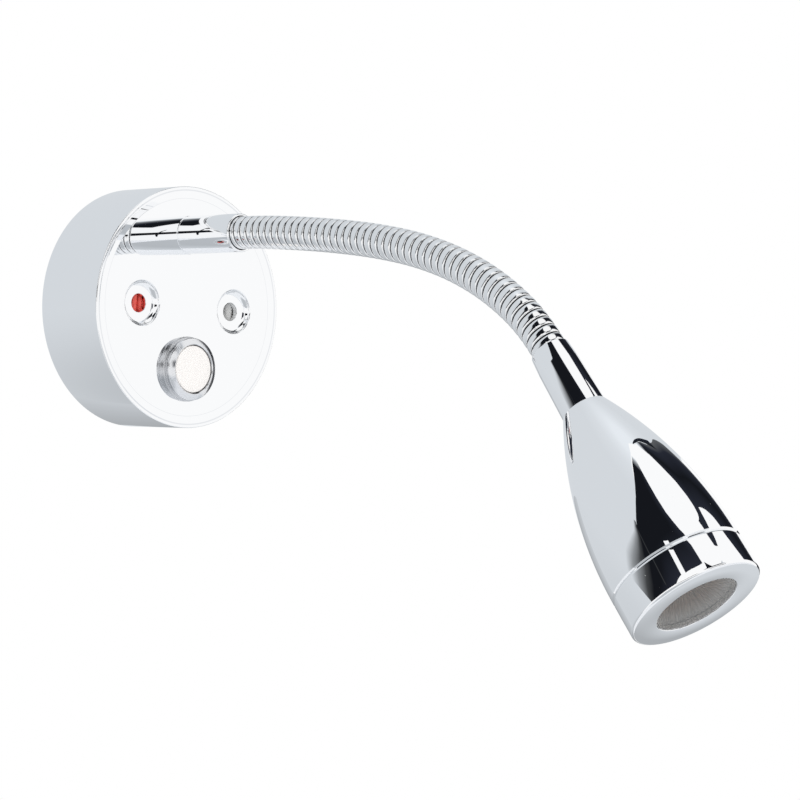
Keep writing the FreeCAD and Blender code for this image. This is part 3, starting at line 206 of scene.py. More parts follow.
card("dark screen", 3.0, [
    ((74, 76.5), (83.5, 76.5)), ((68, 73.5), (85, 73.5)), ((62, 70), (86, 70)),
    ((58.8, 67), (86, 67)), ((56.5, 63.5), (87, 63.5)), ((55, 60), (89, 60)),
    ((54.5, 57), (91, 57)), ((56, 54.5), (93, 54.5)), ((62, 51.2), (95, 51.2)),
    ((67, 47.5), (97.5, 47.5)), ((71, 43), (100.5, 43)), ((72, 39), (104, 36)),
    ((74, 35), (107, 29)), ((77, 30), (107, 22.5)), ((82, 23), (104, 17)),
    ((85, 12), (101, 12)), ((86, 0), (101, 0)), ((87, -26), (101, -26))],
    [(0.0, NAVY), (0.5, BLACK), (0.85, NAVY), (1.0, tone(0.12))])
card("screen's edge", 2.97, [((74, 84), (77.5, 84)), ((81.5, 78), (86, 78)),
                             ((86, 72), (89, 72)), ((87, 66), (91, 66)), ((88, 60), (92.5, 60)),
                             ((89, 55), (94, 55))], [(0.0, BLACK), (1.0, NAVY)], columns=2)
card("screen's top", 2.99, [((76, 79), (83, 79)), ((68, 74), (85, 74))],
     [(0.0, tone(0.9)), (1.0, NAVY)], down=True)
card("thin bar", 2.98, [
    ((56.2, 63.8), (56.2, 54.5)), ((51.2, 60.5), (51.2, 54.4)), ((46.5, 58.8), (46.5, 53.5)),
    ((41.2, 58.2), (41.2, 53.0)), ((36, 58.4), (36, 53.0)), ((32, 58.8), (32, 54.0)),
    ((28.2, 59.2), (28.2, 55.0))], [(0.0, NAVY), (1.0, NAVY)], columns=2)
card("boom", 2.96, [((-22, 49.5), (20, 49.5)), ((-24, 46), (20, 46)), ((-25, 40), (20, 40)),
                    ((-26, 34), (20, 34)), ((-27, 30), (20, 30))],
     [(0.0, NAVY), (0.06, BLACK), (0.42, BLACK), (0.55, NAVY), (0.75, tone(0.14)),
      (0.9, tone(0.45)), (1.0, tone(0.8))], eye=HOUSING_EYE)
card("stand", 2.9, [((-66, 11.5), (-28, 12.0)), ((-66, 3.6), (-28, 3.2))],
     [(0.0, BLACK), (1.0, BLACK)], eye=HOUSING_EYE)
card("black box", 2.88, [
    ((-41.5, 21), (-41.1, 21)), ((-41.9, 18), (-41.0, 18)), ((-41.5, 16), (-41.0, 16)),
    ((-42.2, 14), (-41.0, 14)), ((-41.9, 12), (-41.0, 12)), ((-42.5, 9), (-41.0, 9)),
    ((-42.3, 3), (-41.0, 3)), ((-42.0, 0), (-41.0, 0)), ((-42.2, -2), (-41.2, -2)),
    ((-41.6, -5), (-41.1, -5))],
    [(0.0, BLACK), (1.0, BLACK)], columns=2, eye=HOUSING_EYE)
card("grey mat", 0.74, [((-64, -20), (-4, -20)), ((-64, -36), (4, -36)), ((-64, -62), (4, -62))],
     [(0.0, tone(0.55)), (0.7, tone(0.52)), (1.0, tone(0.66))], eye=HOUSING_EYE)
card("dark doorway", 2.94, [((-9, 13), (18, 13)), ((-9, 2), (18, 2))],
     [(0.0, NAVY), (1.0, NAVY)], eye=HOUSING_EYE)
card("floor's shade", 0.7, [((84, -24), (116, -24)), ((84, -40), (116, -40)),
                            ((84, -54), (116, -54))],
     [(0.0, tone(0.7)), (0.34, tone(0.68)), (0.46, tone(0.55)), (0.56, tone(0.44)),
      (1.0, tone(0.42))])

BOX_PLACE, BOX_AZIMUTH, BOX_ELEVATION = (-0.6, -1.6, 1.1), -20.0, 38.0
BOX_SIDE, BOX_WATTS = 1.2, 5.0
lamp = bpy.data.lights.new("soft box", "AREA")
lamp.shape = "RECTANGLE"
lamp.size, lamp.size_y = BOX_SIDE, BOX_SIDE
lamp.energy = BOX_WATTS
soft_box = bpy.data.objects.new("soft box", lamp)
soft_box.matrix_world = (Matrix.Translation(BOX_PLACE)
                         @ looking(BOX_AZIMUTH, BOX_ELEVATION, 0.0).to_4x4())
soft_box.visible_glossy = False
scene.collection.objects.link(soft_box)

# ---------------------------------------------------------------------------
# Housing
# A cup spun from brass sheet and chromed, 80 mm across: a mirror-flat front field
# inside a raised rim with a turned line, and two dishes pressed in for the cover
# screws, which are missing.
# ---------------------------------------------------------------------------
MM = 0.001
BASE_RADIUS, BASE_DEPTH, BASE_WALL = 40.0, 27.6, 1.6
FIELD, INSIDE, FIELD_RADIUS = 27.2, 25.4, 36.0
RIM_LINE_RADIUS, RIM_LINE_HALF, RIM_LINE_DEPTH = 38.8, 0.2, 0.04
STEP_FOOT, STEP_TOP, LINE_MARGIN, FRONT_SKIN = 0.1, 2.15, 0.02, 0.1
ARM_HEIGHT, SWITCH_DROP, SCREW_SIDE = 24.0, 20.5, 20.3
NIPPLE_HOLE, BARREL_HOLE, SCREW_HOLE = 5.15, 9.55, 3.05
DISH_MOUTH, DISH_EDGE, DISH_WALL, DISH_LIP = 7.4, 7.9, 7.25, 0.5
DISH_FLOOR, DISH_DEPTH, DISH_ARC = 4.6, 1.8, 2.5
BOSS_RADIUS, BOSS_LOW = 8.8, 23.6
RIM_SIDES, DISH_SIDES = 256, 96


def eased(corners, steps=5):
    """Corners given as radius, height and rounding, as one line of points. A corner
    with a rounding becomes an arc of that radius, tangent to both its runs: it
    starts rounding / tan(half the corner's angle) before the corner."""
    line = []
    for i, (r, h, rounding) in enumerate(corners):
        spot = np.array((r, h))
        if not rounding or i in (0, len(corners) - 1):
            line.append(spot)
            continue
        to_last = np.array(corners[i - 1][:2]) - spot
        to_next = np.array(corners[i + 1][:2]) - spot
        to_last, to_next = (v / np.linalg.norm(v) for v in (to_last, to_next))
        half_angle = math.acos(np.clip(to_last @ to_next, -1, 1)) / 2
        middle = (to_last + to_next) / np.linalg.norm(to_last + to_next)
        centre = spot + middle * rounding / math.sin(half_angle)
        first = spot + to_last * rounding / math.tan(half_angle) - centre
        last = spot + to_next * rounding / math.tan(half_angle) - centre
        sweep = math.pi - 2 * half_angle
        for t in np.linspace(0, 1, steps + 1):
            ray = (math.sin((1 - t) * sweep) * first + math.sin(t * sweep) * last)
            line.append(centre + ray / math.sin(sweep))
    return np.array(line)


def bowed(start, stop, level, steps):
    """Points on the arc from start to stop whose centre lies at the given height."""
    (r0, h0), (r1, h1) = start, stop
    across = (r0 + r1) / 2 + ((h0 + h1) / 2 - level) * (h1 - h0) / (r1 - r0)
    a0, a1 = math.atan2(h0 - level, r0 - across), math.atan2(h1 - level, r1 - across)
    a1 = a0 + (a1 - a0 + math.pi) % (2 * math.pi) - math.pi
    radius = math.hypot(h0 - level, r0 - across)
    turn = np.linspace(a0, a1, steps + 1)
    return np.column_stack((across + radius * np.cos(turn), level + radius * np.sin(turn)))


def turned(line, around, centre=(0.0, 0.0), closed=False):
    """A turned skin: the point at radius r and height h, turned by t, lies at
    (x + r cos t, y + r sin t, h)."""
    turn = np.arange(around) * 2 * math.pi / around
    r, h = line[:, :1], line[:, 1:2]
    spots = np.stack((centre[0] + r * np.cos(turn), centre[1] + r * np.sin(turn),
                      np.broadcast_to(h, (len(line), around))), axis=-1)
    rows = len(line) if closed else len(line) - 1
    i, j = np.meshgrid(np.arange(rows), np.arange(around), indexing="ij")
    k, m = (i + 1) % len(line), (j + 1) % around
    quads = np.stack((i * around + j, i * around + m, k * around + m, k * around + j), -1)
    return spots.reshape(-1, 3), quads.reshape(-1, 4).tolist()


def pierced(rim, holes, height):
    """A flat disc at that height with round holes, each given by its centre, radius
    and number of sides. The disc is cut into triangles between all the circles, and
    the triangles whose middle lies in a hole are left out."""
    spots, edges, first = [], [], 0
    for x, y, radius, sides in [rim] + holes:
        turn = np.arange(sides) * 2 * math.pi / sides
        spots.append(np.column_stack((x + radius * np.cos(turn), y + radius * np.sin(turn))))
        step = np.arange(sides)
        edges.append(first + np.column_stack((step, (step + 1) % sides)))
        first += sides
    flat, _, faces, *_ = geometry.delaunay_2d_cdt(
        [Vector(spot) for spot in np.vstack(spots)], np.vstack(edges).tolist(), [], 1, 1e-7)
    flat = np.column_stack((np.array(flat), np.full(len(flat), height)))
    faces = np.array(faces)
    middle = flat[faces].mean(1)
    solid = np.ones(len(faces), bool)
    for x, y, radius, sides in holes:
        away = np.hypot(middle[:, 0] - x, middle[:, 1] - y)
        solid &= away > radius * math.cos(math.pi / sides)
    return flat, faces[solid].tolist()


def out_of_wall(spots, across=0.0, up=0.0):
    """A piece's own X, Y and height become the room's X, Z and distance from the
    wall, in metres."""
    x, y, h = np.asarray(spots).T
    return np.column_stack((x + across, -h, y + up)) * MM


def welded(name, parts, crease=30.0, seam=1e-6):
    """One mesh from several skins: points closer than the seam become one, faces
    turn outwards, and edges sharper than the crease stay sharp."""
    shell = bmesh.new()
    for spots, faces in parts:
        skin = bpy.data.meshes.new(name)
        skin.from_pydata(spots.tolist(), [], faces)
        shell.from_mesh(skin)
        bpy.data.meshes.remove(skin)
    bmesh.ops.remove_doubles(shell, verts=shell.verts, dist=seam)
    bmesh.ops.recalc_face_normals(shell, faces=shell.faces)
    mesh = bpy.data.meshes.new(name)
    shell.to_mesh(mesh)
    shell.free()
    mesh.shade_smooth()
    mesh.set_sharp_from_angle(angle=math.radians(crease))
    piece = bpy.data.objects.new(name, mesh)
    scene.collection.objects.link(piece)
    return piece


def face_middles(piece):
    """The middle of each face, in metres."""
    middles = np.empty(3 * len(piece.data.polygons))
    piece.data.polygons.foreach_get("center", middles)
    return middles.reshape(-1, 3)


def coat(piece, material, chosen):
    """Give the chosen faces a second finish."""
    piece.data.materials.append(material)
    piece.data.polygons.foreach_set("material_index", chosen.astype(np.int32))


def feed(tree, socket, term):
    """Give an input its term: another node's output, or a plain value."""
    if isinstance(term, bpy.types.NodeSocket):
        tree.links.new(term, socket)
    else:
        socket.default_value = term


def reckoned(tree, operation, *terms):
    """What a sum on these terms gives."""
    made = tree.nodes.new("ShaderNodeMath")
    made.operation = operation
    for socket, term in zip(made.inputs, terms):
        feed(tree, socket, term)
    return made.outputs[0]


def mingled(tree, share, one, other):
    """The colour that goes from one to the other as the share goes from 0 to 1."""
    made = tree.nodes.new("ShaderNodeMix")
    made.data_type = "RGBA"
    for label, term in (("Factor", share), ("A", one), ("B", other)):
        feed(tree, made.inputs[label], term)
    return made.outputs["Result"]


def noise(tree, place, scale, detail=2.0):
    """Noise of this scale on the object's own coordinates."""
    made = tree.nodes.new("ShaderNodeTexNoise")
    for label, term in (("Vector", place), ("Scale", scale), ("Detail", detail)):
        feed(tree, made.inputs[label], term)
    return made.outputs["Fac"]


def relief(tree, height, strength, depth):
    """The normal that a fine relief of this height gives."""
    made = tree.nodes.new("ShaderNodeBump")
    for label, term in (("Height", height), ("Strength", strength), ("Distance", depth)):
        feed(tree, made.inputs[label], term)
    return made.outputs["Normal"]


def look_group(name, amounts):
    """A node group that takes these amounts, colours or numbers, and will give a
    colour, a gloss and a height. With it come what it takes, what it gives, and the
    object's own coordinates."""
    tree = bpy.data.node_groups.new(name, "ShaderNodeTree")
    for label, start in amounts.items():
        kind = "NodeSocketColor" if isinstance(start, tuple) else "NodeSocketFloat"
        made = tree.interface.new_socket(label, in_out="INPUT", socket_type=kind)
        made.default_value = start
    for label, kind in (("Colour", "NodeSocketColor"), ("Roughness", "NodeSocketFloat"),
                        ("Height", "NodeSocketFloat")):
        tree.interface.new_socket(label, in_out="OUTPUT", socket_type=kind)
    into, out = tree.nodes.new("NodeGroupInput"), tree.nodes.new("NodeGroupOutput")
    place = tree.nodes.new("ShaderNodeTexCoord").outputs["Object"]
    return tree, into.outputs, out.inputs, place


def buffed_grain():
    """Node group for bare metal: fine buffing marks, and a few specks of dust where a
    point lies close to a scattered one."""
    tree, takes, gives, place = look_group("buffed metal", {
        "Colour": (0.9, 0.9, 0.9, 1), "Roughness": 0.03, "Haze": 0.02, "Scale": 900.0,
        "Dust": 1.0})
    marks = noise(tree, place, takes["Scale"], 4.0)
    haze = reckoned(tree, "MULTIPLY_ADD", marks, takes["Haze"], takes["Roughness"])
    specks = tree.nodes.new("ShaderNodeTexVoronoi")
    specks.inputs["Scale"].default_value = 260.0
    feed(tree, specks.inputs["Vector"], place)
    small = reckoned(tree, "LESS_THAN", specks.outputs["Distance"], 0.028)
    few = reckoned(tree, "MULTIPLY", small, takes["Dust"])
    feed(tree, gives["Roughness"], reckoned(tree, "MULTIPLY_ADD", few, 0.45, haze))
    feed(tree, gives["Colour"], mingled(tree, few, takes["Colour"], (0.95, 0.95, 0.93, 1.0)))
    feed(tree, gives["Height"], marks)
    return tree


BUFFED = buffed_grain()


def finish(name, group, metallic, strength, depth, amounts):
    """A material whose colour, gloss and fine relief come from a node group that is
    set to these amounts."""
    made = bpy.data.materials.new(name)
    made.use_nodes = True
    tree = made.node_tree
    shader = tree.nodes["Principled BSDF"]
    shader.inputs["Metallic"].default_value = metallic
    look = tree.nodes.new("ShaderNodeGroup")
    look.node_tree = group
    for label, amount in amounts.items():
        look.inputs[label].default_value = amount
    feed(tree, shader.inputs["Base Color"], look.outputs["Colour"])
    feed(tree, shader.inputs["Roughness"], look.outputs["Roughness"])
    feed(tree, shader.inputs["Normal"], relief(tree, look.outputs["Height"], strength, depth))
    return made


def bare_metal(name, colour, roughness, haze, scale, dust, depth):
    """Metal with its own colour, gloss and size of buffing marks."""
    return finish(name, BUFFED, 1.0, 0.5, depth, {
        "Colour": (*colour, 1.0), "Roughness": roughness, "Haze": haze, "Scale": scale,
        "Dust": dust})


CHROME = (0.95, 0.957, 0.968)
housing_chrome = bare_metal("housing chrome", CHROME, 0.0, 0.02, 900.0, 0.0, 2e-7)

rim = eased([
    (BASE_RADIUS - BASE_WALL, INSIDE, 0),
    (BASE_RADIUS - BASE_WALL, 0, 0),
    (BASE_RADIUS, 0, 0.2),
    (BASE_RADIUS, BASE_DEPTH, 0.3),
    (RIM_LINE_RADIUS + RIM_LINE_HALF, BASE_DEPTH, 0.2),
    (RIM_LINE_RADIUS, BASE_DEPTH - RIM_LINE_DEPTH, 0.1),
    (RIM_LINE_RADIUS - RIM_LINE_HALF, BASE_DEPTH, 0.2),
    (FIELD_RADIUS + STEP_TOP, BASE_DEPTH, 0.4),
    (FIELD_RADIUS + STEP_FOOT, FIELD, 0.4),
    (FIELD_RADIUS, FIELD, 0)])
bowl = np.vstack((
    eased([(DISH_EDGE, FIELD, 0), (DISH_MOUTH, FIELD, 0.45),
           (DISH_WALL, FIELD - DISH_LIP, 0)]),
    bowed((DISH_WALL, FIELD - DISH_LIP), (DISH_FLOOR, FIELD - DISH_DEPTH),
          FIELD - DISH_DEPTH + DISH_ARC, 10)[1:],
    eased([(DISH_FLOOR - 0.2, FIELD - DISH_DEPTH, 0), (SCREW_HOLE, FIELD - DISH_DEPTH, 0.18),
           (SCREW_HOLE, BOSS_LOW, 0), (BOSS_RADIUS, BOSS_LOW, 0), (BOSS_RADIUS, INSIDE, 0)])))
bores = [(0.0, ARM_HEIGHT, NIPPLE_HOLE, 48), (0.0, -SWITCH_DROP, BARREL_HOLE, 64)]
parts = [turned(rim, RIM_SIDES)] + [
    pierced((0, 0, outer, RIM_SIDES),
            bores + [(s * SCREW_SIDE, 0, inner, DISH_SIDES) for s in (-1, 1)], height)
    for outer, inner, height in ((FIELD_RADIUS, DISH_EDGE, FIELD),
                                 (BASE_RADIUS - BASE_WALL, BOSS_RADIUS, INSIDE))]
parts += [turned(bowl, DISH_SIDES, (s * SCREW_SIDE, 0)) for s in (-1, 1)]
parts += [turned(np.array(((r, FIELD), (r, INSIDE))), sides, (x, y))
          for x, y, r, sides in bores]
housing = welded("housing", [(out_of_wall(spots), faces) for spots, faces in parts])
housing.data.materials.append(housing_chrome)
x, out, z = (face_middles(housing) / MM).T
reach = np.hypot(x, z)
in_line = np.abs(reach - RIM_LINE_RADIUS) < RIM_LINE_HALF + LINE_MARGIN
at_step = np.abs(reach - FIELD_RADIUS - STEP_FOOT) < STEP_FOOT + LINE_MARGIN
# the turned line's groove and the foot of the step get a darker chrome: painted shade in these
# creases
coat(housing, bare_metal("painted line shade", (0.8, 0.815, 0.84), 0.03, 0.05, 900.0, 0.0, 2e-7),
     (-out > FIELD - FRONT_SKIN) & (in_line | at_step))
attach(housing, "base")
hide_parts("base_housing")

# ---------------------------------------------------------------------------
# Wall plate, entry bush and clinch nuts
# A pressed pan of zinc-plated steel is screwed to the wall and the housing slips
# over it. A nylon bush lines its cable hole, and two clinch nuts sit in its sheet.
# ---------------------------------------------------------------------------


def rubbed_grain():
    """Node group for painted, plated or moulded surfaces: two noises on the object's
    coordinates vary the colour and the gloss and raise a fine grain."""
    tree, takes, gives, place = look_group("surface grain", {
        "Colour": (0.8, 0.8, 0.8, 1), "Other": (0.6, 0.6, 0.6, 1), "Patches": 120.0,
        "Grain": 2500.0, "Roughness": 0.4, "Spread": 0.1})
    patches = noise(tree, place, takes["Patches"], 3.0)
    grain = noise(tree, place, takes["Grain"])
    feed(tree, gives["Colour"], mingled(tree, patches, takes["Colour"], takes["Other"]))
    feed(tree, gives["Roughness"],
         reckoned(tree, "MULTIPLY_ADD", grain, takes["Spread"], takes["Roughness"]))
    feed(tree, gives["Height"], grain)
    return tree


GRAINED = rubbed_grain()


def grained(name, colour, other, metallic=0.0, roughness=0.4, spread=0.1, patches=120.0,
            grain=2500.0, depth=2e-5):
    """A finish that wanders between two near colours, with a fine grain."""
    return finish(name, GRAINED, metallic, 0.4, depth, {
        "Colour": (*colour, 1.0), "Other": (*other, 1.0), "Patches": patches,
        "Grain": grain, "Roughness": roughness, "Spread": spread})


def dress(material, *names):
    """Give CAD nodes their finish."""
    for name in names:
        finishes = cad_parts[name].data.materials
        finishes.clear()
        finishes.append(material)


zinc = grained("zinc plate", (0.62, 0.64, 0.66), (0.5, 0.51, 0.5), 1.0, 0.28, 0.15, 260.0)
nylon = grained("black nylon", (0.03, 0.03, 0.032), (0.045, 0.045, 0.045), 0.0, 0.45)
dress(zinc, "wall_plate", "clinch_nuts")
dress(nylon, "entry_bush")

# ---------------------------------------------------------------------------
# Driver
# A small glass-fibre board on four nylon pillars turns mains into a steady current:
# taped transformer, sleeved capacitor, and a two-way terminal for the supply.
# ---------------------------------------------------------------------------
dress(grained("green board", (0.03, 0.16, 0.07), (0.05, 0.22, 0.1), 0.0, 0.32, 0.1, 90.0),
      "driver_board")
dress(grained("white nylon", (0.75, 0.74, 0.7), (0.68, 0.67, 0.62), 0.0, 0.5),
      "board_pillars")
dress(grained("amber tape", (0.62, 0.33, 0.05), (0.5, 0.24, 0.03), 0.0, 0.3, 0.15, 300.0),
      "driver_transformer")
dress(grained("capacitor sleeve", (0.02, 0.025, 0.05), (0.03, 0.035, 0.07), 0.0, 0.3),
      "driver_capacitor")
dress(grained("grey thermoplastic", (0.38, 0.39, 0.4), (0.33, 0.34, 0.35), 0.0, 0.5),
      "supply_terminal")
dress(zinc, "terminal_screws")

# ---------------------------------------------------------------------------
# Push-button switch
# A chromed bezel on a threaded barrel is held from behind by a washer and a nut. The
# ivory cap slides in it against a coil spring, and works a sealed contact block.
# ---------------------------------------------------------------------------
BARREL_RADIUS, BARREL_END, BARREL_WEB = 9.4, 16.4, 18.4
BEZEL_RADIUS, BEZEL_FOOT, BEZEL_TOP, LIP_LOW = 10.35, 10.75, 31.3, 30.3
SIDE_SHADE_TOP, SIDE_SHADE_BORE = 30.0, 8.45
CAP_RADIUS, CAP_FACE, CAP_TOP, CAP_WEB, CAP_LOW, STEM = 7.95, 7.75, 31.1, 28.6, 23.3, 2.0
CAP_WALL, CAP_GAP, BEZEL_SIDES, CAP_SIDES = 1.1, 0.1, 128, 96
# the bezel's chrome is painted darker than the housing's: painted shade
button_chrome = bare_metal("bezel chrome", (0.8, 0.81, 0.83), 0.13, 0.05, 1400.0, 0.0, 4e-7)
bezel_line = eased([
    (STEM + CAP_GAP, BARREL_END, 0), (BARREL_RADIUS, BARREL_END, 0.2),
    (BARREL_RADIUS, FIELD, 0), (BEZEL_FOOT, FIELD, 0), (BEZEL_FOOT, FIELD + 1.1, 0.4),
    (BEZEL_RADIUS - 0.35, FIELD + 1.3, 0.25), (BEZEL_RADIUS - 0.35, FIELD + 1.7, 0.2),
    (BEZEL_RADIUS, FIELD + 2.1, 0.3), (BEZEL_RADIUS, BEZEL_TOP - 0.95, 0.45),
    (CAP_RADIUS + 0.4, BEZEL_TOP, 0.25), (CAP_RADIUS + CAP_GAP, BEZEL_TOP - 0.3, 0),
    (CAP_RADIUS + CAP_GAP, BARREL_WEB, 0), (STEM + CAP_GAP, BARREL_WEB, 0)], steps=7)
skin, faces = turned(bezel_line, BEZEL_SIDES, closed=True)
bezel = welded("bezel", [(out_of_wall(skin, up=-SWITCH_DROP), faces)])
bezel.data.materials.append(button_chrome)
x, out, z = (face_middles(bezel) / MM).T
# the bezel's side, from the field up under its lip, gets a darker chrome, painted shade, that is
# also a little rougher
coat(bezel, bare_metal("bezel side shade", (0.62, 0.63, 0.65), 0.24, 0.06, 1400.0, 0.0, 4e-7),
     (-out > FIELD) & (-out < SIDE_SHADE_TOP) & (np.hypot(x, z + SWITCH_DROP) > SIDE_SHADE_BORE))
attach(bezel, "base")
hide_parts("switch_bezel")

cap_line = eased([
    (0, BARREL_END - 1, 0), (STEM, BARREL_END - 1, 0.2), (STEM, CAP_WEB, 0),
    (CAP_RADIUS - CAP_WALL, CAP_WEB, 0), (CAP_RADIUS - CAP_WALL, CAP_LOW, 0),
    (CAP_RADIUS, CAP_LOW, 0),
    (CAP_RADIUS, LIP_LOW - 2.5, 0), (CAP_FACE, LIP_LOW - 2.3, 0),
    (CAP_FACE, CAP_TOP - 0.25, 0.3), (CAP_FACE - 2.5, CAP_TOP - 0.06, 3.0), (0, CAP_TOP, 0)])
skin, faces = turned(cap_line, CAP_SIDES)
cap = welded("button_cap_face", [(out_of_wall(skin, up=-SWITCH_DROP), faces)])
cap.data.materials.append(grained("satin ivory", (0.985, 0.955, 0.925), (0.975, 0.935, 0.9),
                                  0.0, 0.45, 0.12, 1600.0, 5000.0, 1e-6))
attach(cap, "button")
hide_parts("button_cap")

SPRING_LOW, SPRING_HIGH, SPRING_RADIUS, WIRE = 18.85, 28.15, 4.3, 0.3
SPRING_TURNS, SPRING_KEPT = 5, 0.848


def coiled(turns, steps_per_turn=40, sides=10):
    """A coil of round wire: the wire's middle is at (R cos t, R sin t) and rises
    evenly except in the last half turn at each end, which lies flat. Its skin stands
    one wire radius off along the outward and the upward direction."""
    t = np.linspace(0, turns * 2 * math.pi, int(turns * steps_per_turn) + 1)
    share = np.clip((t - math.pi) / (t[-1] - 2 * math.pi), 0, 1)
    rise = SPRING_LOW + (SPRING_HIGH - SPRING_LOW) * share * share * (3 - 2 * share)
    around = np.arange(sides) * 2 * math.pi / sides
    reach = SPRING_RADIUS + WIRE * np.cos(around)[None, :]
    spots = np.stack((reach * np.cos(t)[:, None], reach * np.sin(t)[:, None],
                      rise[:, None] + WIRE * np.sin(around)[None, :]), -1)
    i, j = np.meshgrid(np.arange(len(t) - 1), np.arange(sides), indexing="ij")
    m = (j + 1) % sides
    quads = np.stack((i * sides + j, i * sides + m, (i + 1) * sides + m,
                      (i + 1) * sides + j), -1).reshape(-1, 4).tolist()
    ends = [list(range(sides)), list(range((len(t) - 1) * sides, len(t) * sides))]
    return spots.reshape(-1, 3), quads + ends


skin, faces = coiled(SPRING_TURNS)
spring = welded("return_spring", [(out_of_wall(skin, up=-SWITCH_DROP), faces)], crease=60.0)
spring.data.materials.append(bare_metal("spring steel", (0.5, 0.5, 0.52), 0.2, 0.1, 1500.0,
                                        0.0, 1e-6))
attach(spring, "base")
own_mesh(spring)
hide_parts("button_spring")

dress(zinc, "switch_washer", "switch_nut")
dress(nylon, "contact_block")
dress(grained("tinned tabs", (0.7, 0.69, 0.66), (0.6, 0.59, 0.55), 1.0, 0.3), "switch_tabs")

# ---------------------------------------------------------------------------
# Root of the arm
# A threaded brass nipple passes through the front wall, locked behind by a toothed
# washer and a nut. The chromed sleeve screws on it and grips the gooseneck.
# ---------------------------------------------------------------------------
SLEEVE_ROOT, SLEEVE_RADIUS, SLEEVE_END, HOSE_SEAT = 6.5, 6.3, 51.35, 40.15
HOSE_BORE, SLEEVE_BORE, SLEEVE_SIDES = 5.6, 5.03, 128
sleeve_line = eased([
    (SLEEVE_BORE, FIELD, 0), (SLEEVE_ROOT, FIELD, 0.4), (SLEEVE_RADIUS, SLEEVE_END, 0.4),
    (HOSE_BORE, SLEEVE_END, 0.15), (HOSE_BORE, HOSE_SEAT, 0), (SLEEVE_BORE, HOSE_SEAT, 0)])
skin, faces = turned(sleeve_line, SLEEVE_SIDES, closed=True)
sleeve = welded("sleeve", [(out_of_wall(skin, up=ARM_HEIGHT), faces)])
sleeve.data.materials.append(bare_metal("sleeve chrome", CHROME, 0.0, 0.02, 1100.0, 0.0,
                                        3e-7))
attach(sleeve, "base")
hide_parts("root_sleeve")

dress(grained("nickelled brass", (0.72, 0.66, 0.5), (0.66, 0.6, 0.44), 1.0, 0.22),
      "root_nipple")
dress(zinc, "lock_washer", "lock_nut")

# ---------------------------------------------------------------------------
# Leads in the housing
# Two red leads rise from the switch past the left cover-screw hole to the board, and
# the arm's two-core cable comes down from the nipple past the right one. Each lies
# in loose curves and stays in the housing.
# ---------------------------------------------------------------------------
LEAD_RADIUS, CABLE_RADIUS = 1.2, 2.0
BOARD_TOP, BOARD_EDGE = 6.1, 14.7


def laid(name, route, radius, material, node):
    """A round lead that rests in the housing: a circle carried along the smooth line
    that the control points of its route draw."""
    curve = bpy.data.curves.new(name, "CURVE")
    curve.dimensions = "3D"
    line = curve.splines.new("NURBS")
    line.points.add(len(route) - 1)
    for point, spot in zip(line.points, out_of_wall(route)):
        point.co = (*spot, 1.0)
    line.order_u = 3
    line.use_endpoint_u = True
    curve.resolution_u = 12
    curve.bevel_depth = radius * MM
    curve.bevel_resolution = 6
    curve.use_fill_caps = True
    holder = bpy.data.objects.new(name, curve)
    scene.collection.objects.link(holder)
    bpy.context.view_layer.update()
    mesh = bpy.data.meshes.new_from_object(holder.evaluated_get(
        bpy.context.evaluated_depsgraph_get()))
    bpy.data.objects.remove(holder)
    mesh.name = name
    mesh.materials.clear()
    mesh.materials.append(material)
    mesh.shade_smooth()
    mesh.set_sharp_from_angle(angle=math.radians(50))
    piece = bpy.data.objects.new(name, mesh)
    scene.collection.objects.link(piece)
    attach(piece, "base")
    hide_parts(node)


TAB_SIDE, TAB_MID, TAB_EDGE = 3.5, 6.1, -18.9
LEAD_HEIGHT, CABLE_HEIGHT = 22.25, 21.45
red = grained("red insulation", (0.92, 0.12, 0.085), (0.84, 0.09, 0.07), 0.0, 0.32, 0.08,
              400.0, 3000.0, 1e-5)
laid("red_lead_1", [
    (-TAB_SIDE - 0.4, -SWITCH_DROP, TAB_MID), (-TAB_SIDE - 9.0, -SWITCH_DROP, TAB_MID + 0.2),
    (-SCREW_SIDE + 0.4, -9.0, LEAD_HEIGHT), (-SCREW_SIDE + 0.2, 0, LEAD_HEIGHT),
    (-SCREW_SIDE + 0.8, 8.5, LEAD_HEIGHT), (-SCREW_SIDE + 8.4, BOARD_EDGE - 4.1, 14.0),
    (-SCREW_SIDE + 8.7, BOARD_EDGE - 4.2, BOARD_TOP + 0.1)], LEAD_RADIUS, red,
    "switch_lead_1")
laid("red_lead_2", [
    (TAB_SIDE, TAB_EDGE, TAB_MID), (TAB_SIDE - 0.5, TAB_EDGE + 9.3, TAB_MID - 0.1),
    (-SCREW_SIDE + 4.8, -9.5, LEAD_HEIGHT - 0.8), (-SCREW_SIDE + 2.65, 0, LEAD_HEIGHT),
    (-SCREW_SIDE + 4.0, 8.3, LEAD_HEIGHT), (-SCREW_SIDE + 12.3, BOARD_EDGE - 1.9, 15.0),
    (-SCREW_SIDE + 12.9, BOARD_EDGE - 1.8, BOARD_TOP + 0.1)], LEAD_RADIUS, red,
    "switch_lead_2")
sheath = grained("cable sheath", (0.72, 0.72, 0.71), (0.66, 0.66, 0.65), 0.0, 0.42)
laid("two_core_cable", [
    (0, ARM_HEIGHT, SLEEVE_END), (0, ARM_HEIGHT, 17.0), (3.0, ARM_HEIGHT - 2.0, 12.5),
    (17.0, 17.0, 15.0), (SCREW_SIDE + 2.1, 8.0, CABLE_HEIGHT + 0.2),
    (SCREW_SIDE + 1.9, 0, CABLE_HEIGHT), (SCREW_SIDE + 1.2, -8.0, CABLE_HEIGHT),
    (13.5, -10.5, 10.0), (10.5, -6.8, BOARD_TOP + 2.1)], CABLE_RADIUS, sheath,
    "root_cable")

